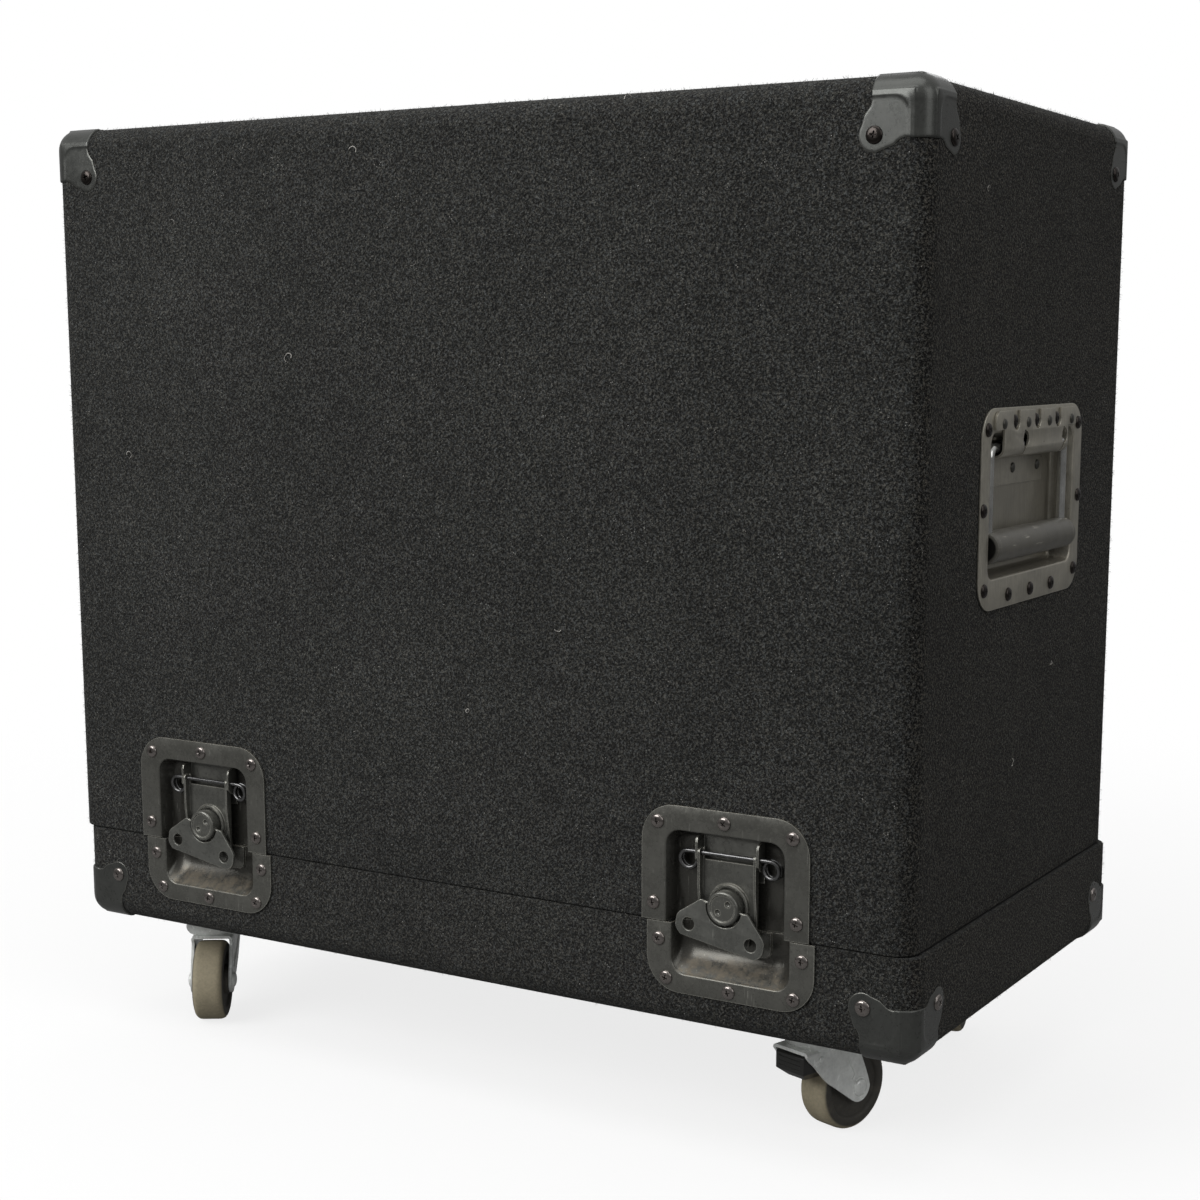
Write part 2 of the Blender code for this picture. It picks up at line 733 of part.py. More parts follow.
def make_upper_dish():
    dish = pressed_dish(latch_dish_rings(), "upper", SEAM_GAP / 2)
    floor = LATCH_DEPTH
    half = ARM_WIDTH / 2 + GAP
    ear = half + ARM_SHEET
    flat = ear - HAIR
    top = BRACKET_TOP - HAIR
    back = [(-flat, BRACKET_BOTTOM), (flat, BRACKET_BOTTOM), (flat, top), (-flat, top)]
    join(dish, flat_plate([back], floor - ARM_SHEET, floor + SHEET * 0.5, "Y"))
    for side in (-1, 1):
        low, high = sorted((side * half, side * ear))
        front = ARM_FLANGE_DEPTH
        ear_back = floor + SHEET * 0.4
        outline = [(ear_back, BRACKET_BOTTOM + 0.006), (ear_back, BRACKET_TOP)]
        outline += [(front + 0.004, BRACKET_TOP), (front + 0.001, BRACKET_TOP - 0.001)]
        outline += [(front, BRACKET_TOP - 0.004), (front, ROD_HEIGHT - 0.004)]
        outline += [(front + 0.003, ROD_HEIGHT - 0.007)]
        join(dish, flat_plate([outline], low, high, "X"))
    join(dish, rod_wire())
    return dish


def make_lower_dish():
    dish = pressed_dish(latch_dish_rings(), "lower", -SEAM_GAP / 2)
    half = KEEPER_WIDTH / 2
    corner = 0.005
    top = -SEAM_GAP / 2 - 0.0006
    outline = [(-half, top), (-half, KEEPER_BOTTOM + corner)]
    outline += arc((-half + corner, KEEPER_BOTTOM + corner), corner, 180, 270, 3)[1:]
    outline += arc((half - corner, KEEPER_BOTTOM + corner), corner, 270, 360, 3)
    outline += [(half, top)]
    join(dish, flat_plate([outline], LATCH_DEPTH - KEEPER_SHEET, LATCH_DEPTH + SHEET * 0.5, "Y"))
    nose_front = hook_back() + GAP
    nose = block(
        (-KEEPER_NOSE_WIDTH / 2, nose_front, keeper_nose_low()),
        (KEEPER_NOSE_WIDTH / 2, LATCH_DEPTH, keeper_nose_low() + KEEPER_NOSE_HEIGHT),
    )
    return join(dish, nose)


def hook_front():
    return ARM_PLATE_DEPTH + ARM_SHEET + GAP


def hook_back():
    return hook_front() + HOOK_SHEET


def keeper_nose_low():
    return HOOK_BOTTOM + 0.004


def make_arm():
    """Channel that hangs on the rod and carries the drum; its origin is on the rod's axis."""
    half = ARM_WIDTH / 2
    side = half - HAIR
    low = ARM_BOTTOM + HAIR
    plate = [(-side, low), (side, low), (side, ARM_TOP), (-side, ARM_TOP)]
    hole = arc((0, DRUM_HEIGHT), DRUM_SHAFT_RADIUS + GAP, 0, 330, 11)
    arm = flat_plate([plate, hole], ARM_PLATE_DEPTH, ARM_PLATE_DEPTH + ARM_SHEET, "Y")
    back = ARM_PLATE_DEPTH + ARM_SHEET - HAIR
    for side in (-1, 1):
        low, high = sorted((side * half, side * (half - ARM_SHEET)))
        outline = [(back, ARM_BOTTOM), (back, ROD_HEIGHT)]
        outline += arc((ROD_DEPTH, ROD_HEIGHT), EAR_RADIUS - 0.001, 20, 180, 5)
        outline += [(ARM_FLANGE_DEPTH, ROD_HEIGHT - 0.003), (ARM_FLANGE_DEPTH, DRUM_HEIGHT + 0.012)]
        outline += [(ARM_FLANGE_DEPTH + 0.003, ARM_BOTTOM + 0.002), (ARM_FLANGE_DEPTH + 0.004, ARM_BOTTOM)]
        bore = arc((ROD_DEPTH, ROD_HEIGHT), ROD_RADIUS + ROD_HOLE_CLEARANCE, 0, 324, 9)
        join(arm, flat_plate([outline, bore], low, high, "X"))
    inner = DRUM_RADIUS + COLLAR_CLEARANCE
    centre = (0, DRUM_HEIGHT)
    ring = [arc(centre, inner + COLLAR_WALL, 0, 337.5, 15), arc(centre, inner, 0, 337.5, 15)]
    join(arm, flat_plate(ring, COLLAR_DEPTH, ARM_PLATE_DEPTH + ARM_SHEET * 0.5, "Y"))
    arm.data.transform(Matrix.Translation((0, -ROD_DEPTH, -ROD_HEIGHT)))
    return arm


def make_hook():
    """Plate behind the arm that the drum slides; its window stands before the keeper's nose."""
    half = HOOK_WIDTH / 2
    plate = rounded_outline(-half, half, HOOK_BOTTOM, HOOK_TOP, 0.003, 2)
    low = keeper_nose_low() - 0.001
    window_half = HOOK_WINDOW_WIDTH / 2
    window = rounded_outline(-window_half, window_half, low, low + HOOK_WINDOW_HEIGHT, 0.001, 1)
    slot_half = DRUM_SHAFT_RADIUS + GAP
    slot_top = DRUM_HEIGHT + slot_half + GAP
    slot = rounded_outline(-slot_half, slot_half, DRUM_HEIGHT - slot_half, slot_top, 0.0045, 3)
    return flat_plate([plate, window, slot], hook_front(), hook_back(), "Y")


def wing_axis_depth():
    return WING_SHEET / 2


def make_drum():
    """Round head and shaft; its origin is on its own axis at the dish face."""
    head_back = ARM_PLATE_DEPTH - GAP
    shaft_back = hook_front() - GAP * 0.5
    profile = [
        (0, -DRUM_FACE_PROUD),
        (DRUM_RADIUS - 0.0008, -DRUM_FACE_PROUD),
        (DRUM_RADIUS, -DRUM_FACE_PROUD + 0.0008),
        (DRUM_RADIUS, head_back),
        (DRUM_SHAFT_RADIUS, head_back),
        (DRUM_SHAFT_RADIUS, shaft_back),
        (0, shaft_back),
    ]
    drum = turned(profile, 16)
    drum.data.transform(Matrix.Rotation(-math.pi / 2, 4, "X"))
    depth = wing_axis_depth()
    bore = WING_PIN_RADIUS + GAP
    for side in (-1, 1):
        start = (side * (DRUM_RADIUS - WING_PIN_REACH - GAP), depth, 0)
        end = (side * (DRUM_RADIUS + 0.002), depth, 0)
        cut(drum, rod(start, end, bore, 8))
    return drum


def make_wing():
    """Butterfly wing; its origin is on its fold axis, which crosses the drum's centre."""
    notch = DRUM_RADIUS + WING_NOTCH_CLEARANCE
    right = [
        (WING_SHOULDER, WING_SHOULDER_RISE),
        (WING_HALF_WIDTH - 0.0015, -0.0115),
        (WING_HALF_WIDTH, -0.014),
        (WING_HALF_WIDTH, -0.0205),
        (WING_HALF_WIDTH - 0.0012, -WING_DROP + 0.003),
        (WING_HALF_WIDTH - 0.0045, -WING_DROP),
    ]
    outline = arc((0, 0), notch, 180, 360, 12)
    outline += right
    outline += [(-x, z) for x, z in reversed(right)]
    holes = []
    for side in (-1, 1):
        holes.append(arc((side * WING_HOLE_X, -WING_HOLE_DROP), WING_HOLE_RADIUS, 0, 330, 11))
    depth = WING_SHEET / 2
    wing = flat_plate([outline] + holes, -depth, depth, "Y")
    for side in (-1, 1):
        start = (side * (DRUM_RADIUS - WING_PIN_REACH), 0, 0)
        end = (side * (notch + 0.0015), 0, 0)
        join(wing, rod(start, end, WING_PIN_RADIUS, 8))
    return wing


def make_latches(lid_frame, base_frame):
    masters = {
        "dish_upper": finish(make_upper_dish(), "m1", hardware_grey),
        "dish_lower": finish(make_lower_dish(), "m2", hardware_grey),
        "arm": finish(make_arm(), "m3", hardware_grey),
        "hook": finish(make_hook(), "m4", hardware_grey),
        "drum": finish(make_drum(), "m5", hardware_dark),
        "wing": finish(make_wing(), "m6", hardware_grey),
    }
    for name, side_x, side_y in CORNERS:
        turn = 0.0 if side_y < 0 else math.pi
        face = side_y * (CASE_DEPTH / 2 + FLANGE_PROUD)
        upper = frame_empty("latch_lid_" + name, (side_x * LATCH_X, face, 0), turn, lid_frame)
        lower = frame_empty("latch_base_" + name, (side_x * LATCH_X, face, 0), turn, base_frame)
        copy_of(masters["dish_upper"], "latch_dish_upper_" + name, upper)
        copy_of(masters["dish_lower"], "latch_dish_lower_" + name, lower)
        arm_place = (0, ROD_DEPTH, ROD_HEIGHT)
        drum_place = (0, 0, DRUM_HEIGHT)
        wing_place = (0, wing_axis_depth(), DRUM_HEIGHT)
        copy_of(masters["arm"], "latch_arm_" + name, upper, arm_place)
        copy_of(masters["hook"], "latch_hook_" + name, upper)
        copy_of(masters["drum"], "latch_drum_" + name, upper, drum_place, (0, WING_TURN, 0))
        copy_of(masters["wing"], "latch_wing_" + name, upper, wing_place, (0, WING_TURN, 0))
    for master in masters.values():
        bpy.data.objects.remove(master, do_unlink=True)


# Handles

def roll_radius():
    """Middle of the rolled sheet round the bail's spring sleeve."""
    return SPRING_SLEEVE_RADIUS + ROLL_CLEARANCE + HINGE_SHEET / 2


def pivot_depth():
    """The roll is tangent to the hinge plate's flange, which lies on the dish flange."""
    return roll_radius() - GAP - HINGE_SHEET / 2


def make_handle_dish():
    side = HANDLE_WIDTH / 2
    tall = HANDLE_TALL / 2
    mouth = HANDLE_MOUTH_WIDTH / 2
    top = HANDLE_MOUTH_TOP
    bottom = HANDLE_MOUTH_BOTTOM
    corner = HANDLE_MOUTH_CORNER
    lip = 0.0014
    depth = HANDLE_DEPTH
    rings = [(-side, side, -tall, tall, HANDLE_CORNER, 0.0)]
    rings.append((-mouth - lip, mouth + lip, -bottom - lip, top + lip, corner + lip, 0.0))
    for inset, share in ((0.0, 0.09), (0.001, 0.8), (0.004, 1.0)):
        left = -mouth + inset
        rings.append((left, -left, -bottom + inset, top - inset, corner, depth * share))
    dish = pressed_dish(rings)
    half = DOUBLER_WIDTH / 2
    strip = [(-half, DOUBLER_BOTTOM), (half, DOUBLER_BOTTOM), (half, DOUBLER_TOP), (-half, DOUBLER_TOP)]
    return join(dish, flat_plate([strip], depth - DOUBLER_SHEET, depth + SHEET * 0.5, "Y"))


def make_hinge_plate():
    """Sheet that lies on the top flange and rolls round the bail, cut into knuckles."""
    radius = roll_radius()
    centre = (pivot_depth(), BAIL_PIVOT_HEIGHT)
    front = centre[0] - radius
    path = [(front, HINGE_TOP), (front, BAIL_PIVOT_HEIGHT + 0.008)]
    path += arc(centre, radius, 180, 450, 10)
    shape = bmesh.new()
    half = HINGE_WIDTH / 2
    left = [shape.verts.new((-half, y, z)) for y, z in path]
    right = [shape.verts.new((half, y, z)) for y, z in path]
    for index in range(len(path) - 1):
        shape.faces.new((left[index], left[index + 1], right[index + 1], right[index]))
    plate = object_from_bmesh(shape, "hinge")
    skin = plate.modifiers.new("sheet", "SOLIDIFY")
    skin.thickness = HINGE_SHEET
    skin.offset = 0
    skin.use_even_offset = True
    bake(plate)
    clear = 0.02
    roll_half = HINGE_ROLL_WIDTH / 2
    shoulder = HANDLE_MOUTH_TOP + 0.002
    for side in (-1, 1):
        low, high = sorted((side * roll_half, side * (half + clear)))
        cut(plate, block((low, -clear, -clear), (high, clear, shoulder)))
    for middle in (HINGE_NOTCH_LEFT, HINGE_NOTCH_RIGHT):
        low = (middle - HINGE_NOTCH_WIDTH / 2, -clear, -clear)
        cut(plate, block(low, (middle + HINGE_NOTCH_WIDTH / 2, clear, shoulder)))
    slot = HINGE_SLOT_WIDTH / 2
    for step in (-1, 0, 1):
        middle = step * HINGE_SLOT_SPACING
        bottom = HINGE_TOP - HINGE_SLOT_DEPTH + slot
        outline = arc((middle, bottom), slot, 180, 360, 6)
        outline += [(middle + slot, HINGE_TOP + clear), (middle - slot, HINGE_TOP + clear)]
        cut(plate, flat_plate([outline], -clear, clear, "Y"))
    return plate


def bail_bend(leg_top):
    """Points down one leg of the bail, along its bottom and up the other leg."""
    half = BAIL_HALF_WIDTH
    drop = BAIL_DROP
    corner = BAIL_CORNER
    points = [(half, leg_top)]
    points += arc((half - corner, -drop + corner), corner, 0, -90, 3)
    points += arc((-half + corner, -drop + corner), corner, -90, -180, 3)
    points.append((-half, leg_top))
    return points


def make_bail():
    """Closed wire bail with the wound spring's sleeve; its origin is on the pivot axis."""
    half = BAIL_HALF_WIDTH
    corner = BAIL_CORNER
    points = [(0.02, 0)]
    points += arc((half - corner, -corner), corner, 90, 30, 2)
    points += bail_bend(-corner)
    points += arc((-half + corner, -corner), corner, 150, 90, 2)
    points += [(-0.02, 0)]
    bail = wire([(x, 0, z) for x, z in points], BAIL_WIRE, 2)
    sleeve = SPRING_SLEEVE_LENGTH / 2
    return join(bail, rod((-sleeve, 0, 0), (sleeve, 0, 0), SPRING_SLEEVE_RADIUS, 12))


def make_grip():
    """Sleeve moulded round the bail, whose legs enter it from the side close to its ends."""
    half = GRIP_LENGTH / 2
    edge = GRIP_EDGE
    profile = [
        (0, -half),
        (GRIP_RADIUS - edge, -half),
        (GRIP_RADIUS, -half + edge),
        (GRIP_RADIUS, half - edge),
        (GRIP_RADIUS - edge, half),
        (0, half),
    ]
    grip = turned(profile, 18, "X")
    leg_top = -BAIL_DROP + GRIP_RADIUS * 2
    path = [(x, 0, z + BAIL_DROP) for x, z in bail_bend(leg_top)]
    return cut(grip, wire(path, BAIL_WIRE + GRIP_CLEARANCE, 2))


def make_handles(lid_frame):
    dish = finish(make_handle_dish(), "h1", hardware_grey)
    plate = finish(make_hinge_plate(), "h2", hardware_grey)
    bail = finish(make_bail(), "h3", bright_steel)
    grip = finish(make_grip(), "h4", grip_rubber)
    for name, side_x in (("left", -1), ("right", 1)):
        face = side_x * (CASE_WIDTH / 2 + FLANGE_PROUD)
        middle = HANDLE_HEIGHT - BASE_HEIGHT
        mount = frame_empty("handle_" + name, (face, 0, middle), side_x * math.pi / 2, lid_frame)
        copy_of(dish, "handle_dish_" + name, mount)
        copy_of(plate, "handle_hinge_plate_" + name, mount)
        pivot = (0, pivot_depth(), BAIL_PIVOT_HEIGHT)
        held = copy_of(bail, "handle_bail_" + name, mount, pivot)
        copy_of(grip, "handle_grip_" + name, held, (0, 0, -BAIL_DROP))
    for master in (dish, plate, bail, grip):
        bpy.data.objects.remove(master, do_unlink=True)


# Casters: local frame at the kingpin's axis under the case, the wheel trailing to +y.

def make_caster_plate():
    half_x = PLATE_WIDTH / 2
    half_y = PLATE_LENGTH / 2
    outline = rounded_outline(-half_x, half_x, -half_y, half_y, PLATE_CORNER, 3)
    plate = flat_plate([outline], -GAP - PLATE_SHEET, -GAP, "Z")
    under_plate = -GAP - PLATE_SHEET
    crown_low = -CROWN_DROP - FORK_SHEET
    head_top = crown_low - GAP
    profile = [
        (0, head_top - KINGPIN_HEAD),
        (KINGPIN_HEAD_RADIUS - 0.001, head_top - KINGPIN_HEAD),
        (KINGPIN_HEAD_RADIUS, head_top),
        (KINGPIN_RADIUS, head_top),
        (KINGPIN_RADIUS, -RACE_DROP),
        (RACE_RADIUS - 0.002, -RACE_DROP),
        (RACE_RADIUS, -RACE_DROP + 0.002),
        (RACE_RADIUS, under_plate + PLATE_SHEET * 0.5),
        (0, under_plate + PLATE_SHEET * 0.5),
    ]
    return join(plate, turned(profile, 16))


def leg_outline():
    """Side view of a fork leg, wide at the crown and round at the axle."""
    axle_y = TRAIL
    axle_z = wheel_centre()
    low = -CROWN_DROP - FORK_SHEET
    outline = [(CROWN_REAR, -CROWN_DROP), (-CROWN_FRONT, -CROWN_DROP), (-CROWN_FRONT, low - 0.0008)]
    outline += [(axle_y + y, axle_z + z) for y, z in LEG_FRONT_EDGE]
    outline += arc((axle_y, axle_z), LEG_END_RADIUS, 236, 355, 6)
    outline += [(axle_y + y, axle_z + z) for y, z in LEG_REAR_EDGE]
    outline += [(CROWN_REAR, low - 0.001)]
    return outline


def wheel_centre():
    return -CASTER_HEIGHT + WHEEL_RADIUS


def make_fork(with_pedal_pin):
    inner = HUB_WIDTH / 2 + GAP
    outer = inner + FORK_SHEET
    hole = KINGPIN_RADIUS + GAP
    low = -CROWN_DROP - FORK_SHEET
    side = inner + FORK_SHEET * 0.6
    crown = rounded_outline(-side, side, -CROWN_FRONT + HAIR, CROWN_REAR - HAIR, 0.001, 1)
    bore = arc((0, 0), hole, 0, 330, 11)
    fork = flat_plate([crown, bore], low, -CROWN_DROP - HAIR, "Z")
    profile = [
        (hole, low + FORK_SHEET * 0.5),
        (FORK_RACE_RADIUS, low + FORK_SHEET * 0.5),
        (FORK_RACE_RADIUS - 0.001, -RACE_DROP - GAP),
        (hole, -RACE_DROP - GAP),
    ]
    join(fork, turned(profile, 16))
    for side in (-1, 1):
        near, far = sorted((side * inner, side * outer))
        join(fork, flat_plate([leg_outline()], near, far, "X"))
    reach = outer + AXLE_HEAD
    start = (-reach + 0.001, TRAIL, wheel_centre())
    end = (reach - 0.001, TRAIL, wheel_centre())
    join(fork, rod(start, end, AXLE_RADIUS, 12))
    for side in (-1, 1):
        start = (side * (outer - 0.0005), TRAIL, wheel_centre())
        end = (side * (outer + AXLE_HEAD), TRAIL, wheel_centre())
        join(fork, rod(start, end, AXLE_HEAD_RADIUS, 10))
    if with_pedal_pin:
        height = -PEDAL_PIVOT_DROP
        start = (-outer - 0.001, -PEDAL_PIVOT_AHEAD, height)
        end = (outer + 0.001, -PEDAL_PIVOT_AHEAD, height)
        join(fork, rod(start, end, PEDAL_PIN_RADIUS, 10))
    return fork


def make_wheel():
    bore = AXLE_RADIUS + GAP
    half_hub = HUB_WIDTH / 2
    half = WHEEL_WIDTH / 2
    rim = WHEEL_RADIUS - WHEEL_ROUNDING
    right = [
        (bore, half_hub),
        (HUB_RADIUS, half_hub),
        (HUB_RADIUS, half - WHEEL_DISH),
        (rim - 0.005, half - WHEEL_DISH),
        (rim - 0.003, half),
        (rim, half),
        (WHEEL_RADIUS, half - WHEEL_ROUNDING),
    ]
    profile = [(radius, -height) for radius, height in right] + list(reversed(right))
    return turned(profile, 20, "X")


def make_pedal():
    """Brake pedal ahead of the wheel; pressed down, its shoe swings towards the tread."""
    top = -CROWN_DROP - FORK_SHEET - 0.0013
    toe_low = top - PEDAL_TOE_HEIGHT
    shoe_low = toe_low - 0.0065
    rear = -KINGPIN_HEAD_RADIUS - 0.001
    reach = WHEEL_RADIUS + PEDAL_SHOE_GAP
    outline = [(-PEDAL_FRONT + 0.001, top), (-PEDAL_FRONT, top - 0.001), (-PEDAL_FRONT, toe_low)]
    outline += [(-PEDAL_FRONT + 0.0068, shoe_low + 0.001)]
    for rise in (shoe_low, shoe_low + 0.004, shoe_low + 0.008):
        drop = rise - wheel_centre()
        outline.append((TRAIL - math.sqrt(reach * reach - drop * drop), rise))
    outline += [(rear + 0.0058, top - 0.0085), (rear, top - 0.0035), (rear, top)]
    pivot = (-PEDAL_PIVOT_AHEAD, -PEDAL_PIVOT_DROP)
    hole = arc(pivot, PEDAL_PIN_RADIUS + GAP, 0, 324, 9)
    half = PEDAL_WIDTH / 2
    shoe = PEDAL_SHOE_WIDTH / 2
    pedal = flat_plate([outline, hole], -half, half, "X")
    past = 0.01
    front = [(-half - HAIR, top + past), (-half - HAIR, toe_low), (-shoe, shoe_low - HAIR)]
    front += [(-x, z) for x, z in reversed(front)]
    keep_common(pedal, flat_plate([front], -PEDAL_FRONT - past, past, "Y"))
    pedal.data.transform(Matrix.Translation((0, -pivot[0], -pivot[1])))
    return pedal


def make_casters(base_frame):
    plate = finish(make_caster_plate(), "c1", zinc)
    fork = finish(make_fork(False), "c2", zinc)
    braked_fork = finish(make_fork(True), "c3", zinc)
    wheel = finish(make_wheel(), "c4", wheel_rubber)
    pedal = finish(make_pedal(), "c5", pedal_black)
    swivels = {
        "front_left": SWIVEL_FRONT_LEFT,
        "front_right": SWIVEL_FRONT_RIGHT,
        "rear_left": SWIVEL_REAR_LEFT,
        "rear_right": SWIVEL_REAR_RIGHT,
    }
    for name, side_x, side_y in CORNERS:
        inset = CASTER_INSET_LEFT if side_x < 0 else CASTER_INSET_RIGHT
        inset_front = CASTER_INSET_FRONT_LEFT if side_x < 0 else CASTER_INSET_FRONT_RIGHT
        x = side_x * (CASE_WIDTH / 2 - inset)
        y = side_y * (CASE_DEPTH / 2 - inset_front)
        mount = frame_empty("caster_" + name, (x, y, -BASE_HEIGHT), 0.0, base_frame)
        copy_of(plate, "caster_plate_" + name, mount)
        braked = side_x > 0
        source = braked_fork if braked else fork
        turn = (0, 0, swivels[name])
        held = copy_of(source, "caster_fork_" + name, mount, (0, 0, 0), turn)
        copy_of(wheel, "caster_wheel_" + name, held, (0, TRAIL, wheel_centre()))
        if braked:
            pivot = (0, -PEDAL_PIVOT_AHEAD, -PEDAL_PIVOT_DROP)
            copy_of(pedal, "caster_brake_pedal_" + name, held, pivot)
    for master in (plate, fork, braked_fork, wheel, pedal):
        bpy.data.objects.remove(master, do_unlink=True)


def build_case():
    lid_frame = frame_empty("lid_frame", (0, 0, SEAM_Z))
    base_frame = frame_empty("base_frame", (LID_SLIP, 0, SEAM_Z))
    lid = (SEAM_GAP / 2, CASE_HEIGHT - BASE_HEIGHT, "bottom")
    base = (-BASE_HEIGHT, -SEAM_GAP / 2, "top")
    make_half(lid, True, lid_frame, "lid")
    make_half(base, False, base_frame, "base")
    make_foam(lid_frame, base_frame)
    make_corners(lid_frame, base_frame)
    make_latches(lid_frame, base_frame)
    make_handles(lid_frame)
    make_casters(base_frame)


clear_scene()
case = new_collection("amplifier_case")
carpet_black = make_material("carpet_black", (0.020, 0.021, 0.022), 0.95)
board_ply = make_material("board_ply", (0.33, 0.22, 0.12), 0.75)
foam_grey = make_material("foam_grey", (0.06, 0.06, 0.065), 0.9)
corner_steel = make_material("corner_steel", (0.045, 0.046, 0.05), 0.5, 0.3)
hardware_grey = make_material("hardware_grey", (0.06, 0.06, 0.06), 0.45, 0.5)
hardware_dark = make_material("hardware_dark", (0.03, 0.03, 0.032), 0.35, 0.5)
bright_steel = make_material("bright_steel", (0.55, 0.55, 0.53), 0.25, 1.0)
grip_rubber = make_material("grip_rubber", (0.05, 0.05, 0.05), 0.6)
zinc = make_material("zinc", (0.62, 0.62, 0.58), 0.35, 1.0)
wheel_rubber = make_material("wheel_rubber", (0.035, 0.033, 0.03), 0.7)
pedal_black = make_material("pedal_black", (0.02, 0.02, 0.02), 0.55)
build_case()
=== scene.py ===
# Carpet-covered transit case with a tall lift-off lid, recessed latches, handles and casters.
import json
import math
import random

import bmesh
import bpy
from mathutils import Matrix, Vector


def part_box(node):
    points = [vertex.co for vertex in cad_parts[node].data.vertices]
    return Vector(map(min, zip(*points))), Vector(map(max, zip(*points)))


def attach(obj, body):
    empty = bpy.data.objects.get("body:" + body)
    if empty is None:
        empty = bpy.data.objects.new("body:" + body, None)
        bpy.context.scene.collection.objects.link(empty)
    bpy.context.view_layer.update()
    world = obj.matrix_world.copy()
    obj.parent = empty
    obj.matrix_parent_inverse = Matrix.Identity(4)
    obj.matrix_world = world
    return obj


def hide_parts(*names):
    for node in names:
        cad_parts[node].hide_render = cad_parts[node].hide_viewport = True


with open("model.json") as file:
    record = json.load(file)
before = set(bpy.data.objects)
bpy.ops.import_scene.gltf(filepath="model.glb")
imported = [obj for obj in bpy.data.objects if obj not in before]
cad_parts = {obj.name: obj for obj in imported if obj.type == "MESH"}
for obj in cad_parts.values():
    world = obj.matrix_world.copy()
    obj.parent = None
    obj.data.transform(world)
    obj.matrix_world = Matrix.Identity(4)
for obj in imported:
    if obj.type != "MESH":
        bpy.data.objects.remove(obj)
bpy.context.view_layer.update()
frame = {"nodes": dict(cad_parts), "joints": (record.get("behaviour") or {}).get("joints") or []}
print("frame loaded,", len(frame["nodes"]), "nodes")

lidLow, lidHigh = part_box("lid_carpet")
baseLow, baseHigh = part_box("base_carpet")
seamZ = (lidLow.z + baseHigh.z) / 2
gap = 0.0003  # clearance between neighbouring pieces
jointAt = {j["name"]: Vector(j["pos_m"]) for j in frame["joints"] if j.get("pos_m")}
spots = (("front_left", -1, -1), ("front_right", 1, -1), ("rear_left", -1, 1), ("rear_right", 1, 1))


# Helpers for meshes

def meshObject(name, shape):
    mesh = bpy.data.meshes.new(name)
    shape.to_mesh(mesh)
    shape.free()
    item = bpy.data.objects.new(name, mesh)
    bpy.context.scene.collection.objects.link(item)
    return item


def applyAll(item):
    bpy.context.view_layer.update()
    graph = bpy.context.evaluated_depsgraph_get()
    mesh = bpy.data.meshes.new_from_object(item.evaluated_get(graph))
    item.modifiers.clear()
    item.data = mesh
    return item


def boolean(target, tool, operation):
    step = target.modifiers.new("boolean", "BOOLEAN")
    step.operation = operation
    step.solver = "EXACT"
    step.object = tool
    applyAll(target)
    bpy.data.objects.remove(tool, do_unlink=True)
    return target


def cut(target, tool):
    return boolean(target, tool, "DIFFERENCE")


def fuse(target, tool):
    return boolean(target, tool, "UNION")


def common(target, tool):
    return boolean(target, tool, "INTERSECT")


def merged(name, *items):
    shape = bmesh.new()
    for item in items:
        shape.from_mesh(item.data)
        bpy.data.objects.remove(item, do_unlink=True)
    return meshObject(name, shape)


def soften(item, width, segments=2, angle=35):
    step = item.modifiers.new("soften", "BEVEL")
    step.width = width
    step.segments = segments
    step.limit_method = "ANGLE"
    step.angle_limit = math.radians(angle)
    step.use_clamp_overlap = True
    return applyAll(item)


def thicken(item, sheet, offset=-1.0):
    step = item.modifiers.new("sheet", "SOLIDIFY")
    step.thickness = sheet
    step.offset = offset
    step.use_even_offset = True
    return applyAll(item)


def cleaned(item, distance=1e-6, outward=True):
    shape = bmesh.new()
    shape.from_mesh(item.data)
    bmesh.ops.remove_doubles(shape, verts=shape.verts, dist=distance)
    bmesh.ops.dissolve_degenerate(shape, edges=shape.edges, dist=distance)
    if outward:
        bmesh.ops.recalc_face_normals(shape, faces=shape.faces)
    shape.to_mesh(item.data)
    shape.free()
    return item


def block(low, high):
    shape = bmesh.new()
    bmesh.ops.create_cube(shape, size=1.0)
    low, high = Vector(low), Vector(high)
    bmesh.ops.scale(shape, vec=high - low, verts=shape.verts)
    bmesh.ops.translate(shape, vec=(low + high) / 2, verts=shape.verts)
    return meshObject("block", shape)


def roundedBlock(low, high, radius, steps=8, flatZ=None, rim=0.0):
    # A box with rounded edges; the end at flatZ keeps a square rim, or a slightly eased one.
    shape = bmesh.new()
    bmesh.ops.create_cube(shape, size=1.0)
    low, high = Vector(low), Vector(high)
    bmesh.ops.scale(shape, vec=high - low, verts=shape.verts)
    bmesh.ops.translate(shape, vec=(low + high) / 2, verts=shape.verts)
    edges = []
    for edge in shape.edges:
        if flatZ is None or not all(abs(v.co.z - flatZ) < 1e-6 for v in edge.verts):
            edges.append(edge)
    bmesh.ops.bevel(shape, geom=edges, offset=radius, segments=steps, profile=0.5, affect="EDGES")
    if rim and flatZ is not None:
        edges = []
        for edge in shape.edges:
            onRim = all(abs(v.co.z - flatZ) < 1e-6 for v in edge.verts)
            if onRim and any(abs(f.normal.z) < 0.5 for f in edge.link_faces):
                edges.append(edge)
        bmesh.ops.bevel(shape, geom=edges, offset=rim, segments=3, profile=0.5, affect="EDGES")
    return meshObject("block", shape)


def arc(centre, radius, start, end, steps):
    points = []
    for step in range(steps + 1):
        angle = math.radians(start + (end - start) * step / steps)
        points.append((centre[0] + radius * math.cos(angle), centre[1] + radius * math.sin(angle)))
    return points


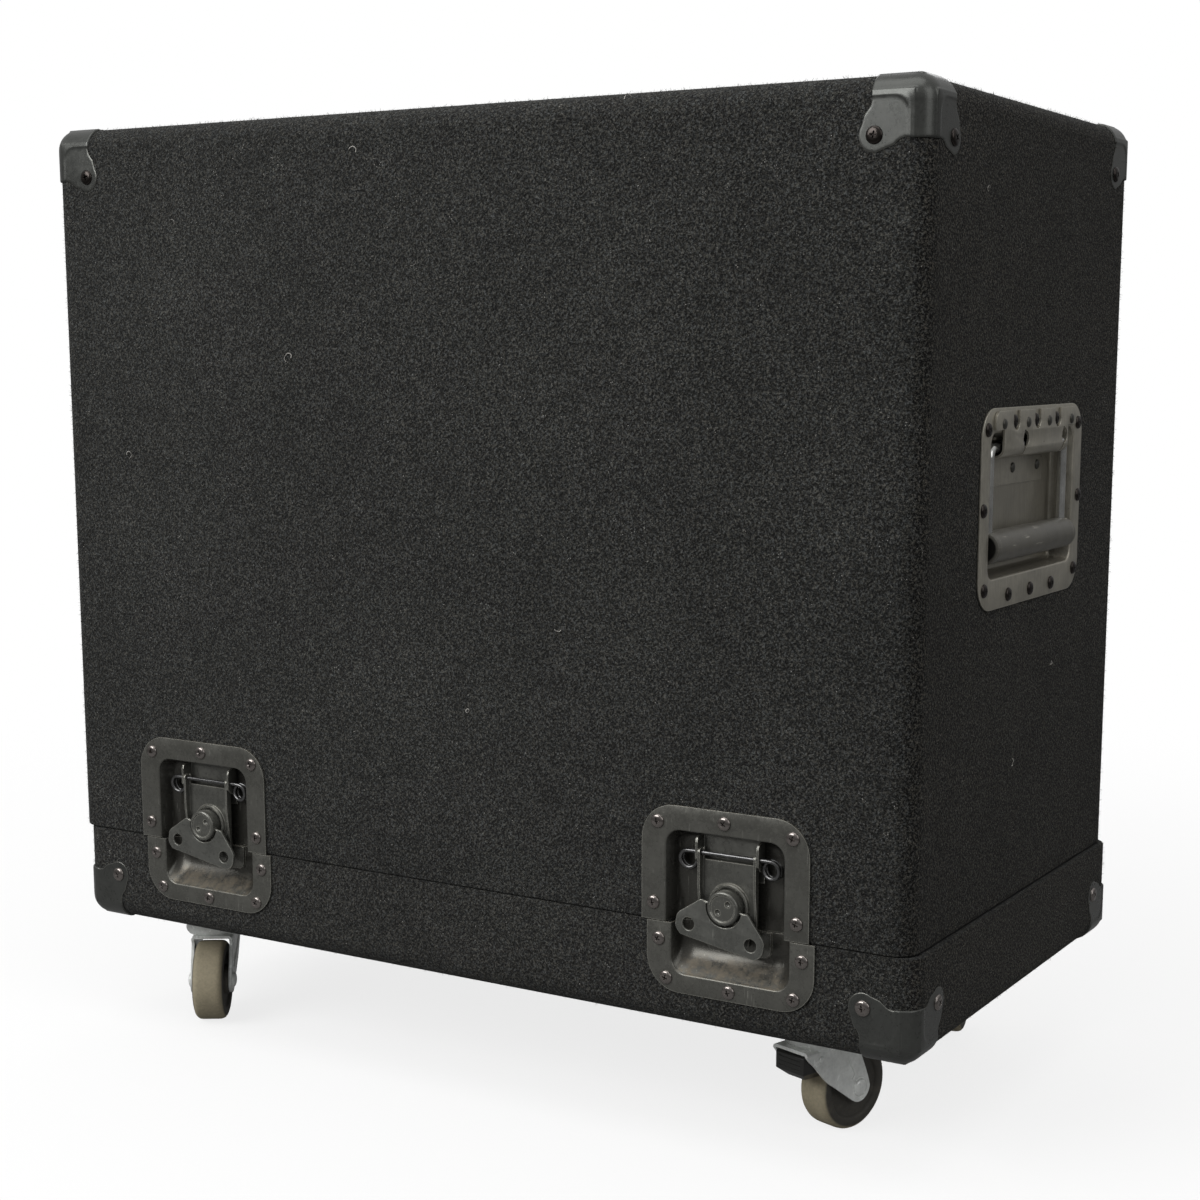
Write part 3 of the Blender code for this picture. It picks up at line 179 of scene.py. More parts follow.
def filleted(points, radius, steps=4, closed=True):
    # Rounds each corner of a line; a radius is cut down where its sides are short.
    rounded = []
    count = len(points)
    for index in range(count):
        here = Vector(points[index])
        if not closed and index in (0, count - 1):
            rounded.append(tuple(here))
            continue
        before = Vector(points[index - 1]) - here
        after = Vector(points[(index + 1) % count]) - here
        if before.length < 1e-7 or after.length < 1e-7:
            continue
        spread = before.angle(after)
        if spread > math.radians(176):
            rounded.append(tuple(here))
            continue
        reach = min(radius / math.tan(spread / 2), before.length * 0.48, after.length * 0.48)
        first = here + before.normalized() * reach
        last = here + after.normalized() * reach
        for step in range(steps + 1):
            t = step / steps
            rounded.append(tuple(first * (1 - t) ** 2 + here * (2 * t * (1 - t)) + last * t * t))
    return rounded


def smoothLine(points, steps=5):
    # Catmull-Rom curve through the points.
    line = []
    count = len(points)
    for index in range(count - 1):
        p0 = Vector(points[max(index - 1, 0)])
        p1 = Vector(points[index])
        p2 = Vector(points[index + 1])
        p3 = Vector(points[min(index + 2, count - 1)])
        for step in range(steps):
            t = step / steps
            place = p1 * 2 + (p2 - p0) * t + (p0 * 2 - p1 * 5 + p2 * 4 - p3) * t * t
            place += (p1 * 3 - p0 - p2 * 3 + p3) * t ** 3
            line.append(tuple(place * 0.5))
    line.append(tuple(points[-1]))
    return line


def roundedOutline(left, right, bottom, top, radius, steps=8):
    points = arc((right - radius, top - radius), radius, 0, 90, steps)
    points += arc((left + radius, top - radius), radius, 90, 180, steps)
    points += arc((left + radius, bottom + radius), radius, 180, 270, steps)
    points += arc((right - radius, bottom + radius), radius, 270, 360, steps)
    return points


def plate(outlines, near, far, facing="Y", edge=0.0):
    # Flat plate from near to far; facing Y its outlines are x and z, facing X y and z, facing Z x and y.
    curve = bpy.data.curves.new("outline", "CURVE")
    curve.dimensions = "2D"
    curve.fill_mode = "BOTH"
    curve.extrude = abs(far - near) / 2 - edge
    if edge:
        curve.bevel_depth = edge
        curve.bevel_resolution = 2
        curve.offset = -edge
    for outline in outlines:
        spline = curve.splines.new("POLY")
        spline.points.add(len(outline) - 1)
        for point, place in zip(spline.points, outline):
            point.co = (place[0], place[1], 0, 1)
        spline.use_cyclic_u = True
    guide = bpy.data.objects.new("outline", curve)
    bpy.context.scene.collection.objects.link(guide)
    bpy.context.view_layer.update()
    graph = bpy.context.evaluated_depsgraph_get()
    mesh = bpy.data.meshes.new_from_object(guide.evaluated_get(graph))
    bpy.data.objects.remove(guide, do_unlink=True)
    shape = bmesh.new()
    shape.from_mesh(mesh)
    bmesh.ops.remove_doubles(shape, verts=shape.verts, dist=1e-6)
    turns = {
        "Y": Matrix.Rotation(math.pi / 2, 4, "X"),
        "X": Matrix.Rotation(math.pi / 2, 4, "Z") @ Matrix.Rotation(math.pi / 2, 4, "X"),
        "Z": Matrix.Identity(4),
    }
    axis = {"X": Vector((1, 0, 0)), "Y": Vector((0, 1, 0)), "Z": Vector((0, 0, 1))}[facing]
    move = Matrix.Translation(axis * (near + far) / 2)
    bmesh.ops.transform(shape, matrix=move @ turns[facing], verts=shape.verts)
    bmesh.ops.recalc_face_normals(shape, faces=shape.faces)
    return meshObject("plate", shape)


def turned(profile, steps=48, axis="Z"):
    # Profile of radius and height from pole to pole or closed on itself, spun about an axis.
    shape = bmesh.new()
    onAxis = profile[0][0] < 1e-7 and profile[-1][0] < 1e-7
    rows = []
    for radius, height in profile:
        if radius < 1e-7:
            rows.append([shape.verts.new((0, 0, height))])
            continue
        row = []
        for step in range(steps):
            angle = 2 * math.pi * step / steps
            row.append(shape.verts.new((radius * math.cos(angle), radius * math.sin(angle), height)))
        rows.append(row)
    pairs = list(zip(rows, rows[1:]))
    if not onAxis:
        pairs.append((rows[-1], rows[0]))
    for first, second in pairs:
        for step in range(steps):
            after = (step + 1) % steps
            corners = []
            for row, index in ((first, step), (first, after), (second, after), (second, step)):
                vert = row[index] if len(row) > 1 else row[0]
                if vert not in corners:
                    corners.append(vert)
            if len(corners) > 2:
                shape.faces.new(corners)
    bmesh.ops.recalc_face_normals(shape, faces=shape.faces)
    turns = {
        "X": Matrix.Rotation(math.pi / 2, 4, "Y"),
        "Y": Matrix.Rotation(-math.pi / 2, 4, "X"),
        "Z": Matrix.Identity(4),
    }
    bmesh.ops.transform(shape, matrix=turns[axis], verts=shape.verts)
    return meshObject("turned", shape)


def rod(start, end, radius, sides=24):
    start, end = Vector(start), Vector(end)
    shape = bmesh.new()
    bmesh.ops.create_cone(
        shape, cap_ends=True, segments=sides, radius1=radius, radius2=radius, depth=(end - start).length
    )
    turn = Vector((0, 0, 1)).rotation_difference(end - start).to_matrix().to_4x4()
    bmesh.ops.transform(shape, matrix=Matrix.Translation((start + end) / 2) @ turn, verts=shape.verts)
    return meshObject("rod", shape)


def wire(points, radius, sides=10, closed=False):
    # Round wire along a line, its section carried from point to point without a twist.
    line = [Vector(p) for p in points]
    count = len(line)
    shape = bmesh.new()
    side = None
    rings = []
    for index in range(count):
        before = line[index - 1] if index or closed else line[0]
        after = line[(index + 1) % count] if index < count - 1 or closed else line[-1]
        ahead = (after - before).normalized()
        if side is None:
            side = ahead.orthogonal().normalized()
        side = (side - ahead * side.dot(ahead)).normalized()
        up = ahead.cross(side)
        ring = []
        for step in range(sides):
            angle = 2 * math.pi * step / sides
            reach = side * math.cos(angle) + up * math.sin(angle)
            ring.append(shape.verts.new(line[index] + reach * radius))
        rings.append(ring)
    pairs = list(zip(rings, rings[1:]))
    if closed:
        pairs.append((rings[-1], rings[0]))
    for first, second in pairs:
        for step in range(sides):
            after = (step + 1) % sides
            shape.faces.new((first[step], first[after], second[after], second[step]))
    if not closed:
        shape.faces.new(rings[0])
        shape.faces.new(rings[-1])
    bmesh.ops.recalc_face_normals(shape, faces=shape.faces)
    return meshObject("wire", shape)


def bentStrip(path, near, far, sheet, along="Z"):
    # Sheet bent along a line; along Z the line is x and y, along Y it is x and z, along X it is y and z.
    shape = bmesh.new()
    rows = []
    for reach in (near, far):
        row = []
        for a, b in path:
            place = {"Z": (a, b, reach), "Y": (a, reach, b), "X": (reach, a, b)}[along]
            row.append(shape.verts.new(place))
        rows.append(row)
    for index in range(len(path) - 1):
        shape.faces.new((rows[0][index], rows[0][index + 1], rows[1][index + 1], rows[1][index]))
    return cleaned(thicken(meshObject("strip", shape), sheet, 0.0))


def pressed(rings, sheet, keep=None, cutHeight=0.0, steps=10):
    # Pressed dish lofted through rounded rings: left, right, bottom, top, corner and depth.
    shape = bmesh.new()
    loops = []
    for left, right, bottom, top, radius, depth in rings:
        outline = roundedOutline(left, right, bottom, top, radius, steps)
        loops.append([shape.verts.new((x, depth, z)) for x, z in outline])
    for outer, inner in zip(loops, loops[1:]):
        for index in range(len(outer)):
            after = (index + 1) % len(outer)
            shape.faces.new((outer[index], outer[after], inner[after], inner[index]))
    shape.faces.new(loops[-1])
    if keep:
        side = 1 if keep == "upper" else -1
        everything = shape.verts[:] + shape.edges[:] + shape.faces[:]
        bmesh.ops.bisect_plane(
            shape, geom=everything, plane_co=(0, 0, cutHeight), plane_no=(0, 0, side), clear_inner=True
        )
    shape.normal_update()
    floor = max(shape.faces, key=lambda face: face.calc_center_median().y)
    if floor.normal.y > 0:
        bmesh.ops.reverse_faces(shape, faces=shape.faces)
    return thicken(meshObject("dish", shape), sheet)


def mark(item, name, measure):
    # Stores a number on every point, for a finish to read.
    layer = item.data.attributes.new(name, "FLOAT", "POINT")
    for index, vert in enumerate(item.data.vertices):
        layer.data[index].value = measure(vert.co)
    return item


def settle(item, name, finish, body, matrix=None, nodes=(), smooth=32):
    # Names a piece, moves its mesh to its place, gives it its finish and lets it ride on its body.
    item.name = name
    item.data.name = name
    if matrix is not None:
        item.data.transform(matrix)
    item.data.materials.clear()
    item.data.materials.append(finish)
    item.data.shade_smooth()
    item.data.set_sharp_from_angle(angle=math.radians(smooth))
    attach(item, body)
    if nodes:
        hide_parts(*nodes)
    return item


def copyAt(master, name, finish, body, matrix, nodes=(), smooth=32):
    item = bpy.data.objects.new(name, master.data.copy())
    bpy.context.scene.collection.objects.link(item)
    return settle(item, name, finish, body, matrix, nodes, smooth)


def discard(*items):
    for item in items:
        bpy.data.objects.remove(item, do_unlink=True)


# Helpers for finishes

class Reading:
    # A shader socket that can be added to, multiplied and compared like a number.
    def __init__(self, tree, socket):
        self.tree = tree
        self.socket = socket

    def combined(self, operation, *values):
        made = self.tree.nodes.new("ShaderNodeMath")
        made.operation = operation
        for index, value in enumerate(values):
            if isinstance(value, Reading):
                self.tree.links.new(value.socket, made.inputs[index])
            else:
                made.inputs[index].default_value = value
        return Reading(self.tree, made.outputs[0])

    def calc(self, operation, *others):
        return self.combined(operation, self, *others)

    def __add__(self, other):
        return self.calc("ADD", other)

    __radd__ = __add__

    def __sub__(self, other):
        return self.calc("SUBTRACT", other)

    def __rsub__(self, other):
        return self.combined("SUBTRACT", other, self)

    def __mul__(self, other):
        return self.calc("MULTIPLY", other)

    __rmul__ = __mul__

    def __pow__(self, other):
        return self.calc("POWER", other)

    def within(self, low, high):
        # 0 below low, 1 above high, or the other way round where low is the larger.
        made = self.tree.nodes.new("ShaderNodeMapRange")
        made.interpolation_type = "SMOOTHSTEP"
        self.tree.links.new(self.socket, made.inputs["Value"])
        made.inputs["From Min"].default_value = min(low, high)
        made.inputs["From Max"].default_value = max(low, high)
        made.inputs["To Min"].default_value = 0.0 if low < high else 1.0
        made.inputs["To Max"].default_value = 1.0 if low < high else 0.0
        return Reading(self.tree, made.outputs["Result"])


class Finish:
    # One material: its fixed values go on the shader's own sockets.
    def __init__(self, name, **fixed):
        self.material = bpy.data.materials.new(name)
        self.material.use_nodes = True
        self.tree = self.material.node_tree
        self.shader = self.tree.nodes["Principled BSDF"]
        for key, value in fixed.items():
            self.shader.inputs[key.replace("_", " ")].default_value = value
        self.place = self.node("ShaderNodeTexCoord", output="Object")

    def node(self, kind, settings=None, inputs=None, output=0):
        made = self.tree.nodes.new(kind)
        for key, value in (settings or {}).items():
            setattr(made, key, value)
        for key, value in (inputs or {}).items():
            if isinstance(value, Reading):
                self.tree.links.new(value.socket, made.inputs[key])
            else:
                made.inputs[key].default_value = value
        return Reading(self.tree, made.outputs[output])

    def stretched(self, scale, turn=(0, 0, 0), place=None):
        values = {"Vector": place or self.place, "Scale": scale, "Rotation": turn}
        return self.node("ShaderNodeMapping", None, values)

    def noise(self, scale, detail=2.0, rough=0.5, place=None, warp=0.0):
        values = {"Vector": place or self.place, "Scale": scale, "Detail": detail, "Roughness": rough}
        values["Distortion"] = warp
        return self.node("ShaderNodeTexNoise", None, values)

    def cells(self, scale, output="Distance", place=None, feature="F1"):
        values = {"Vector": place or self.place, "Scale": scale}
        return self.node("ShaderNodeTexVoronoi", {"feature": feature}, values, output)

    def split(self, vector, axis):
        return self.node("ShaderNodeSeparateXYZ", None, {"Vector": vector}, axis)

    def attribute(self, name):
        return self.node("ShaderNodeAttribute", {"attribute_name": name}, None, "Fac")

    def mix(self, factor, first, second, blend="MIX"):
        settings = {"data_type": "RGBA", "blend_type": blend}
        return self.node("ShaderNodeMix", settings, {0: factor, 6: first, 7: second}, 2)

    def edges(self, radius, low=0.02, high=0.25):
        # 1 along sharp edges: how far a rounded normal leans away from the true one.
        eased = self.node("ShaderNodeBevel", {"samples": 4}, {"Radius": radius})
        true = self.node("ShaderNodeNewGeometry", None, None, "Normal")
        lean = self.node("ShaderNodeVectorMath", {"operation": "DOT_PRODUCT"}, {0: eased, 1: true},
            "Value")
        return (1.0 - lean).within(low, high)

    def upward(self, low=0.3, high=0.9):
        true = self.node("ShaderNodeNewGeometry", None, None, "Normal")
        return self.split(true, "Z").within(low, high)

    def bump(self, height, distance, strength=1.0, under=None):
        values = {"Height": height, "Distance": distance, "Strength": strength}
        if under:
            values["Normal"] = under
        return self.node("ShaderNodeBump", None, values)

    def give(self, **linked):
        for key, value in linked.items():
            self.tree.links.new(value.socket, self.shader.inputs[key.replace("_", " ")])
        return self.material


def grey(value, warm=0.0):
    # Greys here hold a tenth less blue than red and green.
    return (value * (1 + warm), value, value * (1 - warm) * 0.90, 1.0)


# Finishes

carpet = {
    "edge": 0.015,        # radius of the case's edges
    "thick": 0.004,
    "rim": 0.0012,        # softness of the cut edge at the seam
    "ribPitch": 0.0038,
    "rowPitch": 0.0034,
    "pileHeight": 0.0011,
    "tone": 0.0285,
    # share of the front's tone left on the faces turned to x: painted shade
    "paintedSideShade": 0.80,
    "recess": 0.0024,     # room round the dishes
}

def carpetFinish(name, tone, warm):
    made = Finish(name, Specular_IOR_Level=0.12, Sheen_Weight=0.04, Sheen_Roughness=0.6)
    blobs = made.noise(680, 2.0, 0.6, warp=0.4)
    fine = made.noise(1300, 1.0, 0.5)
    broad = made.noise(7, 3.0, 0.6)
    worn = made.noise(34, 3.0, 0.65)
    x = made.split(made.place, "X")
    y = made.split(made.place, "Y")
    z = made.split(made.place, "Z")
    columns = ((x + y) * (2 * math.pi / carpet["ribPitch"]) + blobs * 2.5).calc("SINE")
    rows = (z * (2 * math.pi / carpet["rowPitch"]) + blobs * 2.5).calc("SINE")
    ribs = columns * rows * 0.5 + 0.5
    pile = blobs.within(0.33, 0.69) * 0.62 + fine.within(0.3, 0.7) * 0.38
    # Faces turned to x, the case's ends, are darker and warmer and show stronger pile contrast: painted
    # shade and painted grazing light.
    lean = made.node("ShaderNodeNewGeometry", None, None, "Normal")
    leanX = made.split(lean, "X").calc("ABSOLUTE").within(0.35, 0.95)
    shade = pile ** 2.0 * 3.4 + 0.16 + (ribs - 0.5) * 0.25
    shade = (shade + (pile - 0.5) * leanX * 2.4).calc("MAXIMUM", 0.06)
    shade = shade * (1.0 + (broad - 0.5) * 0.55 + (worn - 0.5) * 0.45)
    flecks = made.cells(520).within(0.20, 0.08)
    rare = made.noise(120, 1.0, 0.5).within(0.64, 0.70)
    dust = made.noise(13, 4.0, 0.7).within(0.52, 0.80) * fine.within(0.45, 0.75)
    # Darker, warmer tone on the faces turned to x: painted side shade.
    base = made.mix(leanX, grey(tone, warm), grey(tone * carpet["paintedSideShade"], warm + 0.06))
    level = made.node("ShaderNodeCombineColor", None, {"Red": shade, "Green": shade, "Blue": shade})
    colour = made.mix(1.0, base, level, "MULTIPLY")
    tint = made.noise(430, 1.0, 0.5).within(0.42, 0.60)
    colour = made.mix(tint * 0.30, colour, made.mix(1.0, colour, (0.78, 1.0, 1.35, 1), "MULTIPLY"))
    colour = made.mix(dust * 0.12, colour, (0.20, 0.185, 0.16, 1))
    colour = made.mix(flecks * rare * 0.75, colour, (0.46, 0.45, 0.42, 1))
    height = pile + ribs * 0.2
    normal = made.bump(height, carpet["pileHeight"], 0.85)
    return made.give(Base_Color=colour, Roughness=0.86 + fine * 0.1, Normal=normal)


def steelFinish(name, tone, warm, rough, dusty=0.2, worn=0.6, brushed=0.0, edge=0.0005, tan=0.0):
    # Painted or plated steel with rubbed edges, scratches and settled dust, and painted shade deeper in
    # the dishes.
    made = Finish(name, Metallic=0.62, Specular_IOR_Level=0.5)
    large = made.noise(60, 4.0, 0.6)
    small = made.noise(420, 3.0, 0.65)
    grain = made.noise(2400, 1.0, 0.5)
    hair = made.noise(900, 2.0, 0.6, made.stretched((1.0, 1.0, 0.06), (0.3, 0.5, 0.2)))
    lines = made.noise(1500, 2.0, 0.6, made.stretched((1.0, 1.0, 0.04)))
    scratches = hair.within(0.66, 0.72) * large.within(0.42, 0.6)
    # Lighter edges, convex and concave alike: partly rubbed wear, partly painted highlight.
    rim = made.edges(edge) * (0.45 + small * 0.9)
    shade = 0.80 + (large - 0.5) * 0.5 + (small - 0.5) * 0.35 + (lines - 0.5) * brushed
    level = made.node("ShaderNodeCombineColor", None, {"Red": shade, "Green": shade, "Blue": shade})
    colour = made.mix(1.0, grey(tone, warm), level, "MULTIPLY")
    # Darker towards the bottom of the dishes, read from the deep mark: painted shade.
    paintedRecessShade = (made.attribute("deep") * (0.55 + large * 0.4)).calc("MINIMUM", 0.92)
    colour = made.mix(paintedRecessShade, colour, grey(tone * 0.34, warm + 0.03))
    bare = min(tone * 4.0 + 0.12, 0.75)
    colour = made.mix(rim * worn, colour, grey(bare, 0.02))
    colour = made.mix(scratches * 0.35 * worn, colour, grey(bare, 0.0))
    specks = made.noise(1100, 2.0, 0.7).within(0.66, 0.76) * large.within(0.4, 0.65)
    colour = made.mix(specks * dusty, colour, (0.50, 0.47, 0.41, 1))
    patches = made.noise(150, 4.0, 0.7).within(0.38, 0.62) * 0.8
    patches = patches + made.noise(700, 3.0, 0.7).within(0.5, 0.65) * 0.5
    settled = made.upward(0.35, 0.95) * patches * tan
    colour = made.mix(settled, colour, (0.24, 0.19, 0.125, 1))
    coarse = rough + (large - 0.5) * 0.28 + (small - 0.5) * 0.2 + specks * (dusty * 0.5) + settled * 0.4
    relief = grain * 0.25 + small * 0.75 + lines * brushed * 2
    normal = made.bump(relief, 0.00006, 0.5)
    return made.give(Base_Color=colour, Roughness=coarse, Normal=normal)


def rubberFinish():
    # Dark moulded sides; the tread is scuffed to a dusty taupe.
    made = Finish("wheel rubber", Specular_IOR_Level=0.4)
    y = made.attribute("tread")
    large = made.noise(70, 4.0, 0.65)
    small = made.noise(480, 3.0, 0.65)
    worn = y.within(0.2, 0.75) * (0.62 + large * 0.55)
    colour = made.mix(small, (0.030, 0.028, 0.025, 1), (0.067, 0.062, 0.051, 1))
    dusty = made.mix(small, (0.222, 0.193, 0.132, 1), (0.416, 0.364, 0.251, 1))
    colour = made.mix(worn, colour, dusty)
    colour = made.mix(large.within(0.5, 0.8) * 0.25, colour, (0.204, 0.182, 0.140, 1))
    normal = made.bump(small + large, 0.0002, 0.5)
    return made.give(Base_Color=colour, Roughness=0.5 + large * 0.25 + worn * 0.2, Normal=normal)


def plasticFinish(name, tone, warm, rough):
    made = Finish(name, Specular_IOR_Level=0.45)
    large = made.noise(55, 4.0, 0.65)
    small = made.noise(700, 3.0, 0.6)
    hair = made.noise(500, 2.0, 0.6, made.stretched((0.10, 0.10, 1.0), (0.2, 0.4, 0.1)))
    scuffs = hair.within(0.63, 0.72) * large.within(0.40, 0.62)
    shade = 0.78 + (large - 0.5) * 0.6 + (small - 0.5) * 0.4
    level = made.node("ShaderNodeCombineColor", None, {"Red": shade, "Green": shade, "Blue": shade})
    colour = made.mix(1.0, grey(tone, warm), level, "MULTIPLY")
    colour = made.mix(scuffs * 0.45, colour, grey(min(tone * 4, 0.5), warm))
    colour = made.mix(made.edges(0.0010) * 0.4, colour, grey(min(tone * 3, 0.5), warm))
    # Inside the hollow ends the plastic is painted near black: painted shade.
    colour = made.mix(made.attribute("end"), colour, grey(0.008, 0.05))
    normal = made.bump(small * 0.6 + large, 0.00012, 0.5)
    return made.give(Base_Color=colour, Roughness=rough + (large - 0.5) * 0.3, Normal=normal)


def zincFinish(name, tint, rough, stain=0.0, metal=0.9):
    # Bright zinc plate with clouded spangle; stain turns it to yellow passivation.
    made = Finish(name, Metallic=metal)
    large = made.noise(110, 3.0, 0.6)
    small = made.noise(900, 3.0, 0.6)
    spangle = made.cells(420, "Distance")
    lines = made.noise(700, 2.0, 0.6, made.stretched((1.0, 1.0, 0.08)))
    shade = 0.84 + (large - 0.5) * 0.5 + (spangle - 0.4) * 0.12 + (lines - 0.5) * 0.12
    level = made.node("ShaderNodeCombineColor", None, {"Red": shade, "Green": shade, "Blue": shade})
    colour = made.mix(1.0, tint, level, "MULTIPLY")
    colour = made.mix(large.within(0.35, 0.7) * stain, colour, (0.42, 0.33, 0.17, 1))
    marks = made.noise(260, 4.0, 0.7).within(0.60, 0.74)
    colour = made.mix(marks * 0.35, colour, (0.16, 0.15, 0.14, 1))
    normal = made.bump(small + spangle * 0.5, 0.00005, 0.5)
    return made.give(Base_Color=colour, Roughness=rough + (large - 0.5) * 0.25 + marks * 0.2,
        Normal=normal)


def plyFinish():
    made = Finish("plywood", Specular_IOR_Level=0.3)
    grain = made.noise(60, 4.0, 0.6, made.stretched((1.0, 1.0, 14.0)), 0.8)
    fibres = made.noise(900, 2.0, 0.6, made.stretched((1.0, 1.0, 0.08)))
    stains = made.noise(11, 3.0, 0.6)
    colour = made.mix(grain, (0.50, 0.34, 0.19, 1), (0.33, 0.205, 0.105, 1))
    colour = made.mix(fibres.within(0.45, 0.75) * 0.4, colour, (0.24, 0.14, 0.07, 1))
    colour = made.mix(stains.within(0.5, 0.8) * 0.3, colour, (0.20, 0.13, 0.08, 1))
    # Near black within 12 mm of the seam, fading out by 17 mm: painted shade in the gap between lid and
    # base.
    fromSeam = (made.split(made.place, "Z") - seamZ).calc("ABSOLUTE")
    colour = made.mix(fromSeam.within(0.017, 0.012), colour, (0.012, 0.012, 0.012, 1))
    normal = made.bump(grain + fibres * 0.5, 0.0002, 0.6)
    return made.give(Base_Color=colour, Roughness=0.62 + fibres * 0.2, Normal=normal)


def foamFinish():
    made = Finish("foam", Specular_IOR_Level=0.2)
    open1 = made.cells(1500, "Distance")
    fine = made.noise(2600, 2.0, 0.6)
    broad = made.noise(14, 3.0, 0.6)
    colour = made.mix(open1.within(0.1, 0.6), (0.012, 0.012, 0.013, 1), (0.052, 0.052, 0.055, 1))
    colour = made.mix(broad.within(0.4, 0.8) * 0.35, colour, (0.080, 0.077, 0.072, 1))
    normal = made.bump(open1 + fine * 0.4, 0.0005, 0.8)
    return made.give(Base_Color=colour, Roughness=0.9 + fine * 0.08, Normal=normal)


def lintFinish():
    made = Finish("lint", Specular_IOR_Level=0.2)
    small = made.noise(240, 2.0, 0.6)
    colour = made.mix(small.within(0.35, 0.65), (0.16, 0.155, 0.145, 1), (0.55, 0.53, 0.49, 1))
    return made.give(Base_Color=colour, Roughness=0.75 + small * 0.2)


def fibreFinish():
    made = Finish("carpet fibres", Specular_IOR_Level=0.25)
    small = made.noise(330, 2.0, 0.6)
    colour = made.mix(small.within(0.45, 0.68), (0.022, 0.0215, 0.021, 1), (0.075, 0.073, 0.068, 1))
    colour = made.mix(made.noise(900, 1.0).within(0.66, 0.72) * 0.8, colour, (0.30, 0.29, 0.26, 1))
    return made.give(Base_Color=colour, Roughness=0.8 + small * 0.15)


lidFelt = carpetFinish("lid carpet", carpet["tone"], 0.02)
baseFelt = carpetFinish("base carpet", carpet["tone"] * 0.9, 0.03)
fibreFelt = fibreFinish()
lint = lintFinish()
cornerSteel = steelFinish("corner steel", 0.084, -0.03, 0.30, 0.3, 0.16, 0.15, 0.0008)
dishSteel = steelFinish("dish steel", 0.145, 0.01, 0.28, 0.35, 0.75, 0.1, 0.0010, 0.5)
# Its light tone stands in for the dark satin steel's reflection of the lights: painted reflection.
handleSteel = steelFinish("handle steel", 0.42, 0.06, 0.36, 0.4, 0.8, 0.6, 0.0010, 0.25)
armSteel = steelFinish("arm steel", 0.155, 0.0, 0.30, 0.3, 1.0, 0.15, 0.0010, 0.2)
wingSteel = steelFinish("wing steel", 0.165, -0.01, 0.30, 0.25, 1.0, 0.1, 0.0012, 0.1)
drumSteel = steelFinish("drum steel", 0.160, 0.0, 0.26, 0.25, 1.0, 0.05, 0.0012, 0.05)
bailSteel = zincFinish("bail steel", (0.62, 0.62, 0.60, 1), 0.16)
springSteel = zincFinish("spring steel", (0.15, 0.15, 0.15, 1), 0.26)
screwSteel = zincFinish("screw steel", (0.040, 0.034, 0.031, 1), 0.20)
nickel = zincFinish("dark nickel", (0.26, 0.235, 0.22, 1), 0.10)
rivetSteel = steelFinish("rivet steel", 0.075, 0.03, 0.34, 0.3, 0.7, 0.0, 0.0005)
zinc = zincFinish("zinc", (0.93, 0.95, 0.92, 1), 0.24, metal=0.15)
raceZinc = zincFinish("race zinc", (0.66, 0.60, 0.44, 1), 0.28, 0.4, 0.6)
rubber = rubberFinish()
gripPlastic = plasticFinish("grip plastic", 0.118, 0.05, 0.42)
pedalPlastic = plasticFinish("pedal plastic", 0.020, 0.0, 0.34)
ply = plyFinish()
foam = foamFinish()
print("finishes made")


# Repeated small pieces: one tree puts a master on points, each with its direction, turn and size

def socketNamed(tree, name):
    for item in tree.interface.items_tree:
        if item.item_type == "SOCKET" and item.in_out == "INPUT" and item.name == name:
            return item.identifier
    raise ValueError(name)


def treeWith(name, inputs):
    tree = bpy.data.node_groups.new(name, "GeometryNodeTree")
    tree.interface.new_socket("Geometry", in_out="INPUT", socket_type="NodeSocketGeometry")
    tree.interface.new_socket("Geometry", in_out="OUTPUT", socket_type="NodeSocketGeometry")
    for label, kind in inputs:
        tree.interface.new_socket(label, in_out="INPUT", socket_type=kind)
    return tree, tree.nodes.new("NodeGroupInput"), tree.nodes.new("NodeGroupOutput")


def runTree(item, tree, values):
    step = item.modifiers.new("repeat", "NODES")
    step.node_group = tree
    for name, value in values.items():
        step[socketNamed(tree, name)] = value
    return applyAll(item)


def fixingTree():
    inputs = (("Master", "NodeSocketObject"), ("Size", "NodeSocketFloat"),
        ("Finish", "NodeSocketMaterial"))
    tree, start, end = treeWith("fixings", inputs)
    node, link = tree.nodes.new, tree.links.new
    info = node("GeometryNodeObjectInfo")
    link(start.outputs["Master"], info.inputs["Object"])
    outward = node("GeometryNodeInputNamedAttribute")
    outward.data_type = "FLOAT_VECTOR"
    outward.inputs["Name"].default_value = "outward"
    spin = node("GeometryNodeInputNamedAttribute")
    spin.data_type = "FLOAT"
    spin.inputs["Name"].default_value = "spin"
    align = node("FunctionNodeAlignRotationToVector")
    align.axis = "Z"
    link(outward.outputs["Attribute"], align.inputs["Vector"])
    around = node("FunctionNodeAxisAngleToRotation")
    around.inputs["Axis"].default_value = (0, 0, 1)
    link(spin.outputs["Attribute"], around.inputs["Angle"])
    turn = node("FunctionNodeRotateRotation")
    turn.rotation_space = "LOCAL"
    link(align.outputs["Rotation"], turn.inputs["Rotation"])
    link(around.outputs["Rotation"], turn.inputs["Rotate By"])
    place = node("GeometryNodeInstanceOnPoints")
    link(start.outputs["Geometry"], place.inputs["Points"])
    link(info.outputs["Geometry"], place.inputs["Instance"])
    link(turn.outputs["Rotation"], place.inputs["Rotation"])
    link(start.outputs["Size"], place.inputs["Scale"])
    real = node("GeometryNodeRealizeInstances")
    link(place.outputs["Instances"], real.inputs["Geometry"])
    paint = node("GeometryNodeSetMaterial")
    link(real.outputs["Geometry"], paint.inputs["Geometry"])
    link(start.outputs["Finish"], paint.inputs["Material"])
    link(paint.outputs["Geometry"], end.inputs["Geometry"])
    return tree


fixings = fixingTree()


